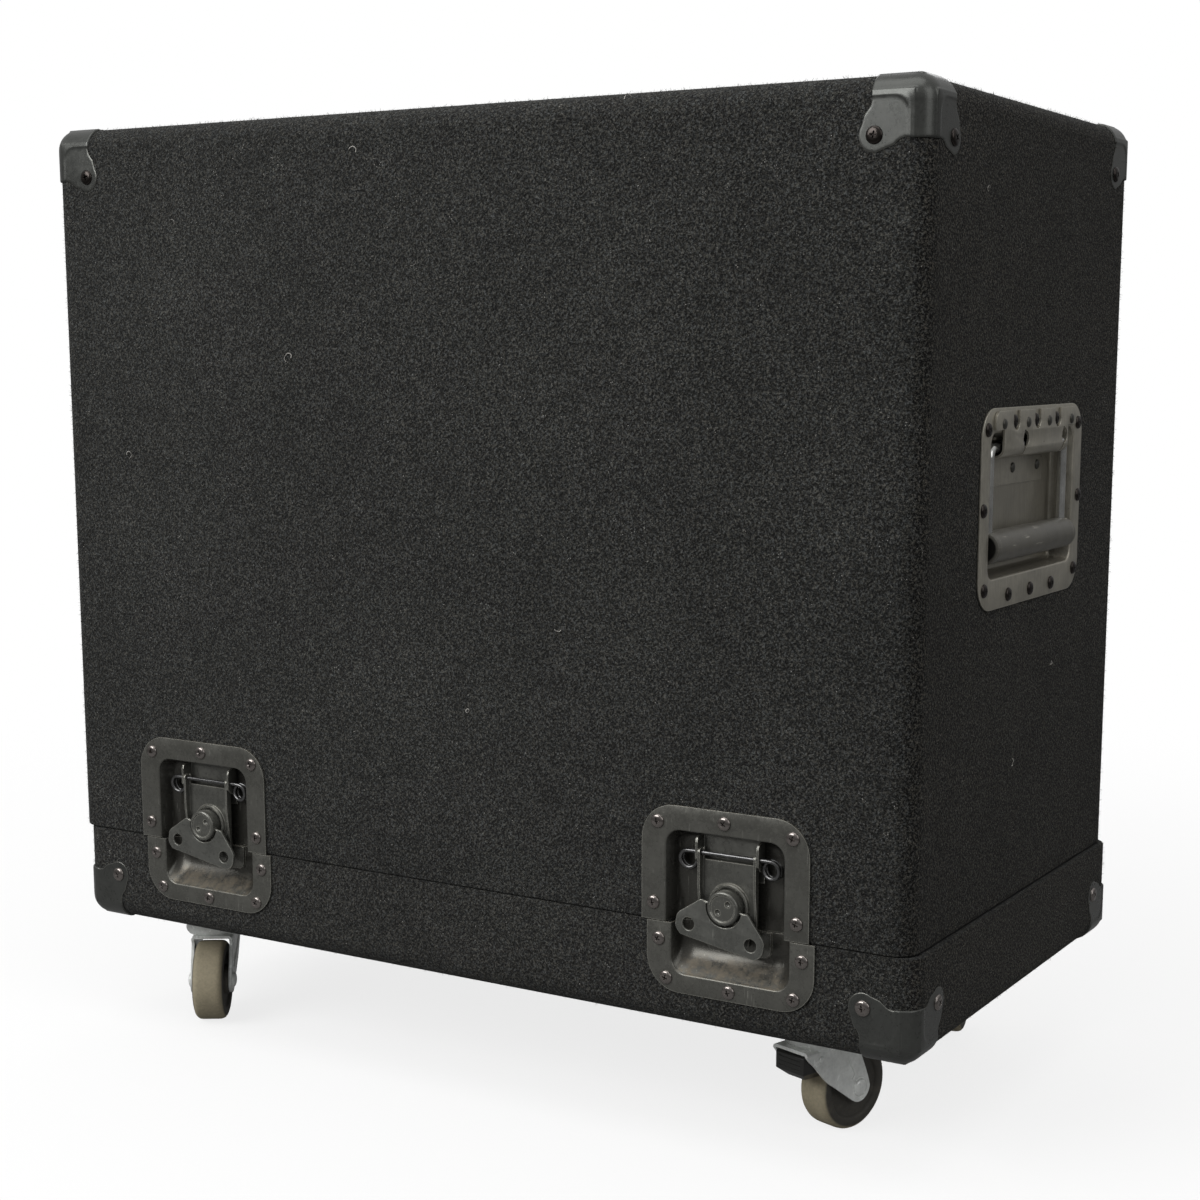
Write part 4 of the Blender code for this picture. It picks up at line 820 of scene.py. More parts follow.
def fixed(name, master, places, finish, body, size=1.0, slot="hardware_steel"):
    # places: list of position, outward direction and turn in radians, in the world.
    shape = bmesh.new()
    for position, outward, spin in places:
        shape.verts.new(position)
    item = meshObject(name, shape)
    item.data.attributes.new("outward", "FLOAT_VECTOR", "POINT")
    item.data.attributes.new("spin", "FLOAT", "POINT")
    for index, (position, outward, spin) in enumerate(places):
        item.data.attributes["outward"].data[index].vector = outward
        item.data.attributes["spin"].data[index].value = spin
    runTree(item, fixings, {"Master": master, "Size": size, "Finish": finish})
    return settle(item, name, finish, body)


def screwMaster(radius, rise):
    # Pan head with a cross recess, its underside at z 0.
    profile = [(0, -rise * 0.3), (radius * 0.97, -rise * 0.3), (radius, rise * 0.12),
        (radius * 0.99, rise * 0.36)]
    profile += [(radius * 0.93, rise * 0.62), (radius * 0.78, rise * 0.84),
        (radius * 0.52, rise * 0.97)]
    profile += [(radius * 0.25, rise), (0, rise)]
    head = turned(profile, 28)
    arm, width = radius * 0.50, radius * 0.085
    for turn in (0, math.pi / 2):
        shape = bmesh.new()
        corners = []
        for z, reach, half in ((rise * 1.2, arm, width * 1.25), (rise * 0.25, arm * 0.45, width * 0.6)):
            row = []
            for x, y in ((-reach, -half), (reach, -half), (reach, half), (-reach, half)):
                row.append(shape.verts.new((x, y, z)))
            corners.append(row)
        shape.faces.new(corners[0])
        shape.faces.new(corners[1])
        for index in range(4):
            after = (index + 1) % 4
            shape.faces.new((corners[0][index], corners[0][after], corners[1][after],
                corners[1][index]))
        bmesh.ops.recalc_face_normals(shape, faces=shape.faces)
        tool = meshObject("recess", shape)
        tool.data.transform(Matrix.Rotation(turn, 4, "Z"))
        cut(head, tool)
    return head


def rivetMaster(radius, rise):
    profile = [(0, -rise * 0.4), (radius, -rise * 0.4), (radius, rise * 0.1)]
    for step in range(1, 7):
        angle = math.pi / 2 * step / 6
        profile.append((radius * math.cos(angle) if step < 6 else 0,
            rise * 0.1 + rise * 0.9 * math.sin(angle)))
    return turned(profile, 24)


cornerScrewMaster = screwMaster(0.0052, 0.0021)
smallScrewMaster = screwMaster(0.0038, 0.0017)
rivetHeadMaster = rivetMaster(0.0028, 0.0012)
boltHeadMaster = rivetMaster(0.0042, 0.0018)


# Case

latch = {
    "halfWidth": 0.059, "top": 0.0758, "low": 0.0454, "corner": 0.023,
    "mouth": 0.0415, "mouthTop": 0.0598, "mouthLow": 0.0325, "mouthCorner": 0.010,
    "depth": 0.014, "lip": 0.0016, "sheet": 0.0012,
    "drumHeight": 0.0143, "rodHeight": 0.0465, "rodDepth": 0.0062, "rodRadius": 0.0014,
}
handle = {
    "halfWidth": 0.091, "halfTall": 0.0625, "corner": 0.020,
    "mouth": 0.0755, "mouthTop": 0.047, "mouthLow": 0.043, "mouthCorner": 0.008,
    "depth": 0.0158, "lip": 0.0014, "sheet": 0.0012,
    "pivotDepth": 0.0048, "pivotHeight": 0.0375, "drop": 0.0615, "half": 0.0665, "bend": 0.006,
    "wire": 0.0032, "sleeveLength": 0.100,
}


def latchFrame(name, sideY, part):
    low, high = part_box("latch_dish_" + part + "_" + name)
    face = low.y if sideY < 0 else high.y
    turn = 0.0 if sideY < 0 else math.pi
    return Matrix.Translation(((low.x + high.x) / 2, face, seamZ)) @ Matrix.Rotation(turn, 4, "Z")


def handleFrame(name, side):
    low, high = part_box("handle_dish_" + name)
    face = high.x if side > 0 else low.x
    place = (face, (low.y + high.y) / 2, (low.z + high.z) / 2)
    return Matrix.Translation(place) @ Matrix.Rotation(side * math.pi / 2, 4, "Z")


def localBlock(matrix, low, high):
    item = block(low, high)
    item.data.transform(matrix)
    return item


def recesses(part):
    # Cutters where the dishes pass through the carpet.
    room = carpet["recess"]
    tools = []
    for name, sideX, sideY in spots:
        span = (-0.03, latch["mouthTop"] + room) if part == "upper" else (-latch["mouthLow"] - room,
            0.03)
        half = latch["mouth"] + room
        tools.append(localBlock(latchFrame(name, sideY, part), (-half, -0.02, span[0]),
            (half, 0.03, span[1])))
    if part == "upper":
        for name, side in (("left", -1), ("right", 1)):
            half = handle["mouth"] + room
            low = (-half, -0.02, -handle["mouthLow"] - room)
            tools.append(localBlock(handleFrame(name, side), low,
                (half, 0.03, handle["mouthTop"] + room)))
    return tools


def carpetSkin(low, high, flatZ, part):
    skin = roundedBlock(low, high, carpet["edge"], 10, flatZ, carpet["rim"])
    inset = Vector((carpet["thick"],) * 3)
    innerLow, innerHigh = low + inset, high - inset
    if part == "upper":
        innerLow.z = flatZ - 0.02
    else:
        innerHigh.z = flatZ + 0.02
    openEnd = innerLow.z if part == "upper" else innerHigh.z
    inner = roundedBlock(innerLow, innerHigh, carpet["edge"] - carpet["thick"], 6, openEnd)
    cut(skin, inner)
    for tool in recesses(part):
        cut(skin, tool)
    return skin


lidSkin = carpetSkin(lidLow, lidHigh, lidLow.z, "upper")
settle(lidSkin, "lidCarpet", lidFelt, "lid", nodes=("lid_carpet",), smooth=40)
baseSkin = carpetSkin(baseLow, baseHigh, baseHigh.z, "lower")
settle(baseSkin, "baseCarpet", baseFelt, "base", nodes=("base_carpet",), smooth=40)
print("carpet done")


# Fibres that stand from the carpet, closer together along its edges

fuzz = {"perSquareMetre": 26000, "length": 0.0016, "edgeShare": 6.0, "seed": 7}


def fibreMaster():
    shape = bmesh.new()
    width = 0.045
    rows = []
    for height, lean, half in ((0.0, 0.0, width), (0.45, 0.12, width), (0.8, 0.42, width * 0.7),
            (0.95, 0.80, 0.0)):
        if half:
            rows.append([shape.verts.new((lean, -half, height)), shape.verts.new((lean, half, height))])
        else:
            rows.append([shape.verts.new((lean, 0, height))])
    shape.faces.new((rows[0][0], rows[0][1], rows[1][1], rows[1][0]))
    shape.faces.new((rows[1][0], rows[1][1], rows[2][1], rows[2][0]))
    shape.faces.new((rows[2][0], rows[2][1], rows[3][0]))
    return meshObject("fibre", shape)


def fuzzTree():
    inputs = (
        ("Fibre", "NodeSocketObject"), ("Density", "NodeSocketFloat"), ("Length", "NodeSocketFloat"),
        ("Seed", "NodeSocketInt"), ("Finish", "NodeSocketMaterial"),
    )
    tree, start, end = treeWith("fuzz", inputs)
    node, link = tree.nodes.new, tree.links.new
    spread = node("GeometryNodeDistributePointsOnFaces")
    link(start.outputs["Geometry"], spread.inputs["Mesh"])
    share = node("GeometryNodeInputNamedAttribute")
    share.data_type = "FLOAT"
    share.inputs["Name"].default_value = "share"
    scaled = node("ShaderNodeMath")
    scaled.operation = "MULTIPLY"
    link(share.outputs["Attribute"], scaled.inputs[0])
    link(start.outputs["Density"], scaled.inputs[1])
    link(scaled.outputs[0], spread.inputs["Density"])
    link(start.outputs["Seed"], spread.inputs["Seed"])
    info = node("GeometryNodeObjectInfo")
    link(start.outputs["Fibre"], info.inputs["Object"])
    tilt = node("FunctionNodeRandomValue")
    tilt.data_type = "FLOAT_VECTOR"
    tilt.inputs[0].default_value = (-1.25, -1.25, -math.pi)
    tilt.inputs[1].default_value = (1.25, 1.25, math.pi)
    link(start.outputs["Seed"], tilt.inputs["Seed"])
    bend = node("FunctionNodeEulerToRotation")
    link(tilt.outputs[0], bend.inputs["Euler"])
    turn = node("FunctionNodeRotateRotation")
    turn.rotation_space = "LOCAL"
    link(spread.outputs["Rotation"], turn.inputs["Rotation"])
    link(bend.outputs["Rotation"], turn.inputs["Rotate By"])
    size = node("FunctionNodeRandomValue")
    size.data_type = "FLOAT"
    size.inputs[2].default_value = 0.45
    size.inputs[3].default_value = 1.25
    longer = node("ShaderNodeMath")
    longer.operation = "MULTIPLY"
    link(size.outputs[1], longer.inputs[0])
    link(start.outputs["Length"], longer.inputs[1])
    place = node("GeometryNodeInstanceOnPoints")
    link(spread.outputs["Points"], place.inputs["Points"])
    link(info.outputs["Geometry"], place.inputs["Instance"])
    link(turn.outputs["Rotation"], place.inputs["Rotation"])
    link(longer.outputs[0], place.inputs["Scale"])
    real = node("GeometryNodeRealizeInstances")
    link(place.outputs["Instances"], real.inputs["Geometry"])
    paint = node("GeometryNodeSetMaterial")
    link(real.outputs["Geometry"], paint.inputs["Geometry"])
    link(start.outputs["Finish"], paint.inputs["Material"])
    link(paint.outputs["Geometry"], end.inputs["Geometry"])
    return tree


fuzzMaker = fuzzTree()
fibre = fibreMaster()


def outsideSkin(skin, low, high, flatZ):
    # The carpet's outer faces cut into bands, each vertex with its share of fibres.
    shape = bmesh.new()
    shape.from_mesh(skin.data)
    centre = (low + high) / 2
    unwanted = []
    for face in shape.faces:
        middle = face.calc_center_median()
        onFace = min(middle.x - low.x, high.x - middle.x, middle.y - low.y, high.y - middle.y)
        onTop = high.z - middle.z if flatZ == low.z else middle.z - low.z
        outside = min(onFace, onTop) < carpet["thick"] * 0.98 and face.normal.dot(middle - centre) > 0
        if not outside or abs(middle.z - flatZ) < 0.0001:
            unwanted.append(face)
    bmesh.ops.delete(shape, geom=unwanted, context="FACES")
    for axis, values in (
        ((1, 0, 0), (low.x + 0.02, high.x - 0.02)),
        ((0, 1, 0), (low.y + 0.02, high.y - 0.02)),
        ((0, 0, 1), (flatZ + (0.006 if flatZ == low.z else -0.006), high.z - 0.02)),
    ):
        for value in values:
            everything = shape.verts[:] + shape.edges[:] + shape.faces[:]
            spot = Vector(axis) * value
            bmesh.ops.bisect_plane(shape, geom=everything, plane_co=spot, plane_no=axis)
    bmesh.ops.triangulate(shape, faces=shape.faces)
    item = meshObject("outside", shape)

    def share(place):
        apart = sorted((place.x - low.x, high.x - place.x, place.y - low.y, high.y - place.y,
            high.z - place.z))
        edge = apart[1] < 0.0165 or abs(place.z - flatZ) < 0.0055
        return fuzz["edgeShare"] if edge else 1.0

    return mark(item, "share", share)


for name, skin, low, high, flatZ in (
    ("lid", lidSkin, lidLow, lidHigh, lidLow.z), ("base", baseSkin, baseLow, baseHigh, baseHigh.z)
):
    hairs = outsideSkin(skin, low, high, flatZ)
    values = {"Fibre": fibre, "Density": fuzz["perSquareMetre"], "Length": fuzz["length"]}
    runTree(hairs, fuzzMaker, values | {"Seed": fuzz["seed"], "Finish": fibreFelt})
    settle(hairs, name + "Fibres", fibreFelt, name)
    print(name, "fibres", len(hairs.data.polygons))


# Lint caught on the carpet: short curled threads lying on a face

lintPlaces = (
    ("front", -0.122, 0.500, 7), ("front", -0.275, 0.428, 6), ("front", -0.228, 0.594, 4),
    ("front", -0.063, 0.633, 5), ("front", 0.142, 0.655, 4), ("front", -0.26, 0.200, 5),
    ("front", 0.09, 0.33, 3), ("front", 0.02, 0.27, 4), ("front", -0.02, 0.56, 3),
    ("right", -0.09, 0.60, 4), ("right", 0.05, 0.30, 3), ("right", -0.02, 0.24, 4),
    ("left", 0.04, 0.47, 5), ("left", -0.08, 0.31, 3), ("rear", 0.12, 0.52, 5),
    ("rear", -0.17, 0.36, 4),
    ("rear", 0.05, 0.61, 3), ("top", -0.10, 0.03, 5), ("top", 0.18, -0.06, 4),
)


def lintThreads():
    chance = random.Random(21)
    pieces = []
    for face, across, other, length in lintPlaces:
        heading = chance.uniform(0, 2 * math.pi)
        bend = chance.choice((-1, 1)) * chance.uniform(0.15, 0.5)
        a, b = across, other
        line = []
        for step in range(14):
            lift = 0.0004 + 0.0003 * math.sin(step * 0.9 + heading)
            if face in ("front", "rear"):
                y = lidLow.y - lift if face == "front" else lidHigh.y + lift
                line.append((a, y, b))
            elif face in ("left", "right"):
                x = lidHigh.x + lift if face == "right" else lidLow.x - lift
                line.append((x, a, b))
            else:
                line.append((a, b, lidHigh.z + lift))
            heading += bend + chance.uniform(-0.25, 0.25)
            a += math.cos(heading) * length * 0.001 / 7
            b += math.sin(heading) * length * 0.001 / 7
        pieces.append(wire(line, 0.00024, 5))
    return merged("lint", *pieces)


settle(lintThreads(), "lintThreads", lint, "lid", smooth=80)


# Corner protectors

corner = {
    "arm": 0.0362, "beadWidth": 0.0125, "beadProud": 0.0011, "beadRadius": 0.0153, "crease": 0.010,
    "tabProud": 0.0006, "screwInset": 0.0338, "lobe": 0.0100, "voxel": 0.00045,
}


def cornerTab():
    inset = corner["screwInset"]
    end = corner["arm"] - 0.0002
    flare = smoothLine([(end, 0.009), (end, 0.0150), (0.0372, 0.0184), (0.0402, 0.0218)], 4)
    lobe = arc((inset, inset), corner["lobe"], -32, 122, 22)
    return [(0.009, 0.009)] + flare + lobe + [(b, a) for a, b in reversed(flare)]


def cornerMaster():
    far, proud = 0.09, corner["beadProud"]
    body = roundedBlock((-far,) * 3, (proud,) * 3, corner["beadRadius"], 10)
    common(body, block((-corner["arm"],) * 3, (0.01,) * 3))
    width, crease = corner["beadWidth"], corner["crease"]
    pocket = [(-far, -far), (-width, -far)]
    pocket += arc((-width - crease, -width - crease), crease, 0, 90, 10) + [(-far, -width)]
    for facing in ("Z", "X", "Y"):
        cut(body, plate([pocket], -far, 0.01, facing))
    flipped = [(-a, -b) for a, b in cornerTab()]
    for facing in ("Z", "X", "Y"):
        fuse(body, plate([flipped], -0.006, corner["tabProud"], facing))
    edges = carpet["edge"] + gap
    step = body.modifiers.new("even", "REMESH")
    step.mode = "VOXEL"
    step.voxel_size = corner["voxel"]
    step = body.modifiers.new("soft", "SMOOTH")
    step.factor = 0.5
    step.iterations = 26
    applyAll(body)
    cut(body, roundedBlock((-far,) * 3, (gap,) * 3, edges, 10))
    return cleaned(body, 1e-6, False)


cornerTurns = {(1, 1): 0, (-1, 1): 90, (-1, -1): 180, (1, -1): 270}
protector = cornerMaster()
print("corner faces", len(protector.data.polygons))
cornerScrews = {"lid": [], "base": []}
chance = random.Random(4)
for name, sideX, sideY in spots:
    spin = Matrix.Rotation(math.radians(cornerTurns[(sideX, sideY)]), 4, "Z")
    over = Matrix.Rotation(math.pi / 2, 4, "Z") @ Matrix.Rotation(math.pi, 4, "X")
    for end, body, low, high in (("top", "lid", lidLow, lidHigh),
            ("bottom", "base", baseLow, baseHigh)):
        x = high.x if sideX > 0 else low.x
        y = high.y if sideY > 0 else low.y
        z = high.z if end == "top" else low.z
        place = Matrix.Translation((x, y, z)) @ (spin if end == "top" else spin @ over)
        node = "corner_" + end + "_" + name
        label = "corner" + end.title() + name.title().replace("_", "")
        copyAt(protector, label, cornerSteel, body, place, (node,), 30)
        inset = corner["screwInset"]
        for axis in range(3):
            spot = Vector((-inset,) * 3)
            spot[axis] = corner["tabProud"] - 0.0003
            outward = Vector((0, 0, 0))
            outward[axis] = 1
            turn = chance.uniform(0, math.pi)
            cornerScrews[body].append((place @ spot, place.to_3x3() @ outward, turn))
discard(protector)
for body, places in cornerScrews.items():
    fixed(body + "CornerScrews", cornerScrewMaster, places, screwSteel if body == "lid" else nickel,
        body)
print("corners done")


# Latches: x across, y into the case, z up from the seam

def latchRings():
    side, mouth, top, low = latch["halfWidth"], latch["mouth"], latch["mouthTop"], latch["mouthLow"]
    corner, depth, lip = latch["mouthCorner"], latch["depth"], latch["lip"]
    rings = [(-side, side, -latch["low"], latch["top"], latch["corner"], 0.0)]
    for step in range(5):
        angle = math.pi / 2 * step / 4
        out = lip * (1 - math.sin(angle))
        down = lip * (1 - math.cos(angle))
        rings.append((-mouth - out, mouth + out, -low - out, top + out, corner + out, down))
    keys = [
        (0.0, 0.0, 0.0, 0.0, lip),
        (0.001, 0.004, 0.0008, 0.0, depth * 0.45),
        (0.003, 0.010, 0.0022, 0.0, depth * 0.82),
        (0.0065, 0.0155, 0.005, 0.002, depth * 0.98),
        (0.010, 0.019, 0.008, 0.004, depth),
    ]
    for inSide, inLow, inTop, inCorner, deep in keys[1:]:
        rings.append((-mouth + inSide, mouth - inSide, -low + inLow, top - inTop, corner - inCorner,
            deep))
    return rings


def fineRings(rings, steps=4):
    # More rings between the given ones, along a smooth curve.
    flange, rest = rings[0], rings[1:]
    vectors = [Vector(ring) for ring in rest]
    fine = [flange]
    for index in range(len(vectors) - 1):
        before = vectors[max(index - 1, 0)]
        start, end = vectors[index], vectors[index + 1]
        after = vectors[min(index + 2, len(vectors) - 1)]
        for step in range(steps):
            t = step / steps
            place = start * 2 + (end - before) * t + (before * 2 - start * 5 + end * 4 - after) * t * t
            place += (start * 3 - before - end * 3 + after) * t ** 3
            fine.append(tuple(place * 0.5))
    fine.append(tuple(vectors[-1]))
    return fine


# 0 at the mouth to 1 at 9 mm deep: how strong the painted shade is.
def dishDepth(place):
    return max(0.0, min(1.0, (place.y - 0.001) / 0.008))


def upperDish():
    dish = pressed(fineRings(latchRings(), 3), latch["sheet"], "upper", 0.0003)
    # The deep mark sets painted shade inside the dish.
    mark(soften(dish, 0.00035, 2, 50), "deep", dishDepth)
    half, sheet = 0.0208, 0.0015
    ear = half + sheet
    floor, top, low, front = latch["depth"], 0.0572, 0.030, 0.0035
    bend = 0.0012
    path = [(-ear + sheet / 2, front - 0.001)]
    path += [(-ear + sheet / 2, floor - sheet / 2 - bend)]
    path += arc((-ear + sheet / 2 + bend, floor - sheet / 2 - bend), bend, 180, 90, 4)[1:]
    path += arc((ear - sheet / 2 - bend, floor - sheet / 2 - bend), bend, 90, 0, 4)
    path += [(ear - sheet / 2, front - 0.001)]
    bracket = bentStrip(path, low - 0.002, top + 0.002, sheet)
    outline = [(floor + 0.002, low), (floor + 0.002, top), (front + 0.004, top),
        (front + 0.001, top - 0.001)]
    outline += [(front, top - 0.004), (front, latch["rodHeight"] - 0.004)]
    outline += [(front + 0.003, latch["rodHeight"] - 0.007), (floor - sheet, low + 0.006),
        (floor - sheet, low)]
    common(bracket, plate([filleted(outline, 0.0012, 3)], -0.03, 0.03, "X"))
    return dish, soften(cleaned(bracket), 0.0002, 2, 40)


def lowerDish():
    dish = pressed(fineRings(latchRings(), 3), latch["sheet"], "lower", -0.0003)
    # The lower dish takes half as much painted shade again.
    mark(soften(dish, 0.00035, 2, 50), "deep", lambda place: 1.5 * dishDepth(place))
    half, low, corner = 0.023, -0.0175, 0.005
    outline = [(-half, -0.0009)] + arc((-half + corner, low + corner), corner, 180, 270, 8)
    outline += arc((half - corner, low + corner), corner, 270, 360, 8) + [(half, -0.0009)]
    keeper = plate([outline], latch["depth"] - 0.0015, latch["depth"] + 0.0004, "Y", 0.0003)
    # The keeper plate deep in the dish gets a fixed share of painted shade.
    mark(keeper, "deep", lambda place: 0.25)
    nose = block((-0.006, 0.0113, -0.0085), (0.006, latch["depth"], -0.0055))
    soften(nose, 0.0003, 2)
    return merged("lowerDish", dish, keeper, nose)


def rodLine(side):
    points = []
    radius, pitch, steps = 0.0057, 0.0036, 24
    for step in range(int(1.75 * steps) + 1):
        angle = 2 * math.pi * step / steps
        x = side * (0.0291 + radius * math.sin(angle))
        z = latch["rodHeight"] - radius + radius * math.cos(angle)
        points.append((x, latch["rodDepth"] + pitch * step / steps, z))
    x, y, z = points[-1]
    tail = [(x + side * 0.0001, y + 0.0016, z + 0.0016),
        (x + side * 0.0002, latch["depth"] + 0.0008, z + 0.003)]
    return points + tail


def latchRod():
    points = list(reversed(rodLine(-1)))
    points += [(-0.026, latch["rodDepth"] - 0.00005, latch["rodHeight"] + 0.0002)]
    points += [(-0.02, latch["rodDepth"], latch["rodHeight"]),
        (0.0, latch["rodDepth"], latch["rodHeight"])]
    points += [(0.02, latch["rodDepth"], latch["rodHeight"])]
    points += [(0.026, latch["rodDepth"] - 0.00005, latch["rodHeight"] + 0.0002)]
    points += rodLine(1)
    return wire(points, latch["rodRadius"], 14)


def latchArm():
    half, sheet, back = 0.0205, 0.0015, 0.0095
    front, low, top = 0.0035, -0.004, 0.042
    rodY, rodZ, drumZ = latch["rodDepth"], latch["rodHeight"], latch["drumHeight"]
    bend = 0.0014
    middle = back - sheet / 2
    path = [(-half + sheet / 2, front - 0.002), (-half + sheet / 2, middle - bend)]
    path += arc((-half + sheet / 2 + bend, middle - bend), bend, 180, 90, 5)[1:]
    path += arc((half - sheet / 2 - bend, middle - bend), bend, 90, 0, 5)
    path += [(half - sheet / 2, front - 0.002)]
    arm = bentStrip(path, low - 0.002, rodZ + 0.006, sheet)
    outline = [(back + 0.001, low), (back + 0.001, rodZ)]
    outline += arc((rodY, rodZ), 0.0032, 20, 180, 10)
    outline += filleted([(front, rodZ - 0.001), (front, drumZ + 0.012),
        (front + 0.003, low + 0.002)], 0.004, 5, False)
    outline += [(front + 0.004, low)]
    bore = arc((rodY, rodZ), latch["rodRadius"] + 0.0004, 0, 348, 30)
    common(arm, plate([outline, bore], -0.03, 0.03, "X"))
    cut(arm, block((-half + sheet + 0.0008, 0.004, top), (half - sheet - 0.0008, 0.02, top + 0.02)))
    cut(arm, rod((0, 0, drumZ), (0, 0.02, drumZ), 0.0053, 32))
    soften(cleaned(arm), 0.0002, 2, 40)
    inner, outer = 0.012, 0.014
    profile = [(inner, middle), (inner, 0.0062), (inner + 0.0004, 0.0058), (outer - 0.0006, 0.0058)]
    profile += [(outer, 0.0064), (outer, middle - 0.0012), (outer + 0.0006, middle - 0.0004),
        (outer + 0.0012, middle)]
    collar = turned(profile, 56, "Y")
    collar.data.transform(Matrix.Translation((0, 0, drumZ)))
    return merged("arm", arm, collar)


def latchHook():
    outline = roundedOutline(-0.013, 0.013, -0.0125, 0.024, 0.003, 6)
    window = roundedOutline(-0.007, 0.007, -0.0095, -0.0045, 0.001, 4)
    slotTop = latch["drumHeight"] + 0.0056
    slot = roundedOutline(-0.0053, 0.0053, latch["drumHeight"] - 0.0053, slotTop, 0.0045, 8)
    return plate([outline, window, slot], 0.0098, 0.0110, "Y", 0.0002)


def latchDrum():
    # Head with a raised rim and two pits; the shaft passes through the arm.
    radius, face = 0.011, -0.002
    profile = [(0, face + 0.0009), (0.0082, face + 0.0009), (0.0086, face + 0.0005),
        (0.0089, face + 0.0001)]
    profile += [(0.0094, face), (0.0100, face + 0.0001), (0.0106, face + 0.0005),
        (radius, face + 0.0012)]
    profile += [(radius, 0.0077), (0.005, 0.0077), (0.005, 0.0096), (0, 0.0096)]
    drum = turned(profile, 64, "Y")
    for side in (-1, 1):
        angle = math.radians(50)
        x, z = side * 0.0046 * math.cos(angle), side * 0.0046 * math.sin(angle)
        pit = bmesh.new()
        bmesh.ops.create_uvsphere(pit, u_segments=20, v_segments=12, radius=0.0021)
        bmesh.ops.translate(pit, vec=(x, face + 0.0003, z), verts=pit.verts)
        cut(drum, meshObject("pit", pit))
        cut(drum, rod((side * 0.0087, 0.001, 0), (side * 0.013, 0.001, 0), 0.0011, 16))
    return cleaned(drum)


def latchWing():
    notch = 0.0126
    right = [(0.0165, 0.0013), (0.0300, -0.0115), (0.0315, -0.0140), (0.0315, -0.0205)]
    right += [(0.0303, -0.0230), (0.0270, -0.0260)]
    corners = filleted([(0.0126, 0.0001)] + right + [(0, -0.0263)], 0.0030, 6, False)[1:-1]
    outline = arc((0, 0), notch, 180, 360, 32)
    outline += corners
    outline += [(-x, z) for x, z in reversed(corners)]
    holes = []
    for side in (-1, 1):
        holes.append(arc((side * 0.0223, -0.0176), 0.0042, 0, 348, 30))
    wing = plate([outline] + holes, -0.001, 0.001, "Y", 0.00045)
    pins = [rod((side * 0.009, 0, 0), (side * 0.0141, 0, 0), 0.0008, 14) for side in (-1, 1)]
    return merged("wing", wing, *pins)


upperMaster, bracketMaster = upperDish()
latchMasters = {
    "upper": upperMaster, "bracket": bracketMaster, "lower": lowerDish(),
    "rod": latchRod(), "arm": latchArm(),
    "hook": latchHook(), "drum": latchDrum(), "wing": latchWing(),
}
print("latch masters", {key: len(item.data.polygons) for key, item in latchMasters.items()})

lidFixings = [(-0.0475, 0.0645), (0.0, 0.0681), (0.0475, 0.0645), (-0.0505, 0.0115), (0.0505, 0.0115)]
baseFixings = [(-0.0505, -0.0115), (0.0505, -0.0115), (-0.0450, -0.0365), (0.0, -0.0394),
    (0.0450, -0.0365)]
fixingPlaces = {"lid": [], "base": []}
for name, sideX, sideY in spots:
    label = name.title().replace("_", "")
    upper, lower = latchFrame(name, sideY, "upper"), latchFrame(name, sideY, "lower")
    drumAt = upper @ Matrix.Translation((0, 0, latch["drumHeight"]))
    tipped = Matrix.Rotation(math.radians(10), 4, "Y")
    node = "latch_dish_upper_" + name
    copyAt(latchMasters["upper"], "latchUpperDish" + label, dishSteel, "lid", upper, (node,))
    copyAt(latchMasters["bracket"], "latchBracket" + label, armSteel, "lid", upper, (node,))
    copyAt(latchMasters["rod"], "latchRod" + label, springSteel, "lid", upper, (node,))
    node = "latch_dish_lower_" + name
    copyAt(latchMasters["lower"], "latchLowerDish" + label, dishSteel, "base", lower, (node,))
    node = "latch_arm_" + name
    copyAt(latchMasters["arm"], "latchArm" + label, armSteel, node, upper, (node,))
    node = "latch_hook_" + name
    copyAt(latchMasters["hook"], "latchHook" + label, armSteel, node, upper, (node,))
    node = "latch_drum_" + name
    copyAt(latchMasters["drum"], "latchDrum" + label, drumSteel, node, drumAt @ tipped, (node,))
    node = "latch_wing_" + name
    wingAt = drumAt @ Matrix.Translation((0, 0.001, 0)) @ tipped
    copyAt(latchMasters["wing"], "latchWing" + label, wingSteel, node, wingAt, (node,))
    for matrix, body, places in ((upper, "lid", lidFixings), (lower, "base", baseFixings)):
        for x, z in places:
            outward = matrix.to_3x3() @ Vector((0, -1, 0))
            fixingPlaces[body].append((matrix @ Vector((x, 0.0002, z)), outward,
                chance.uniform(0, math.pi)))
discard(*latchMasters.values())
for body, places in fixingPlaces.items():
    fixed(body + "LatchScrews", smallScrewMaster, places, nickel, body, 1.2)
print("latches done")


# Handles: x along the case's end, y into the case, z up from the dish's middle

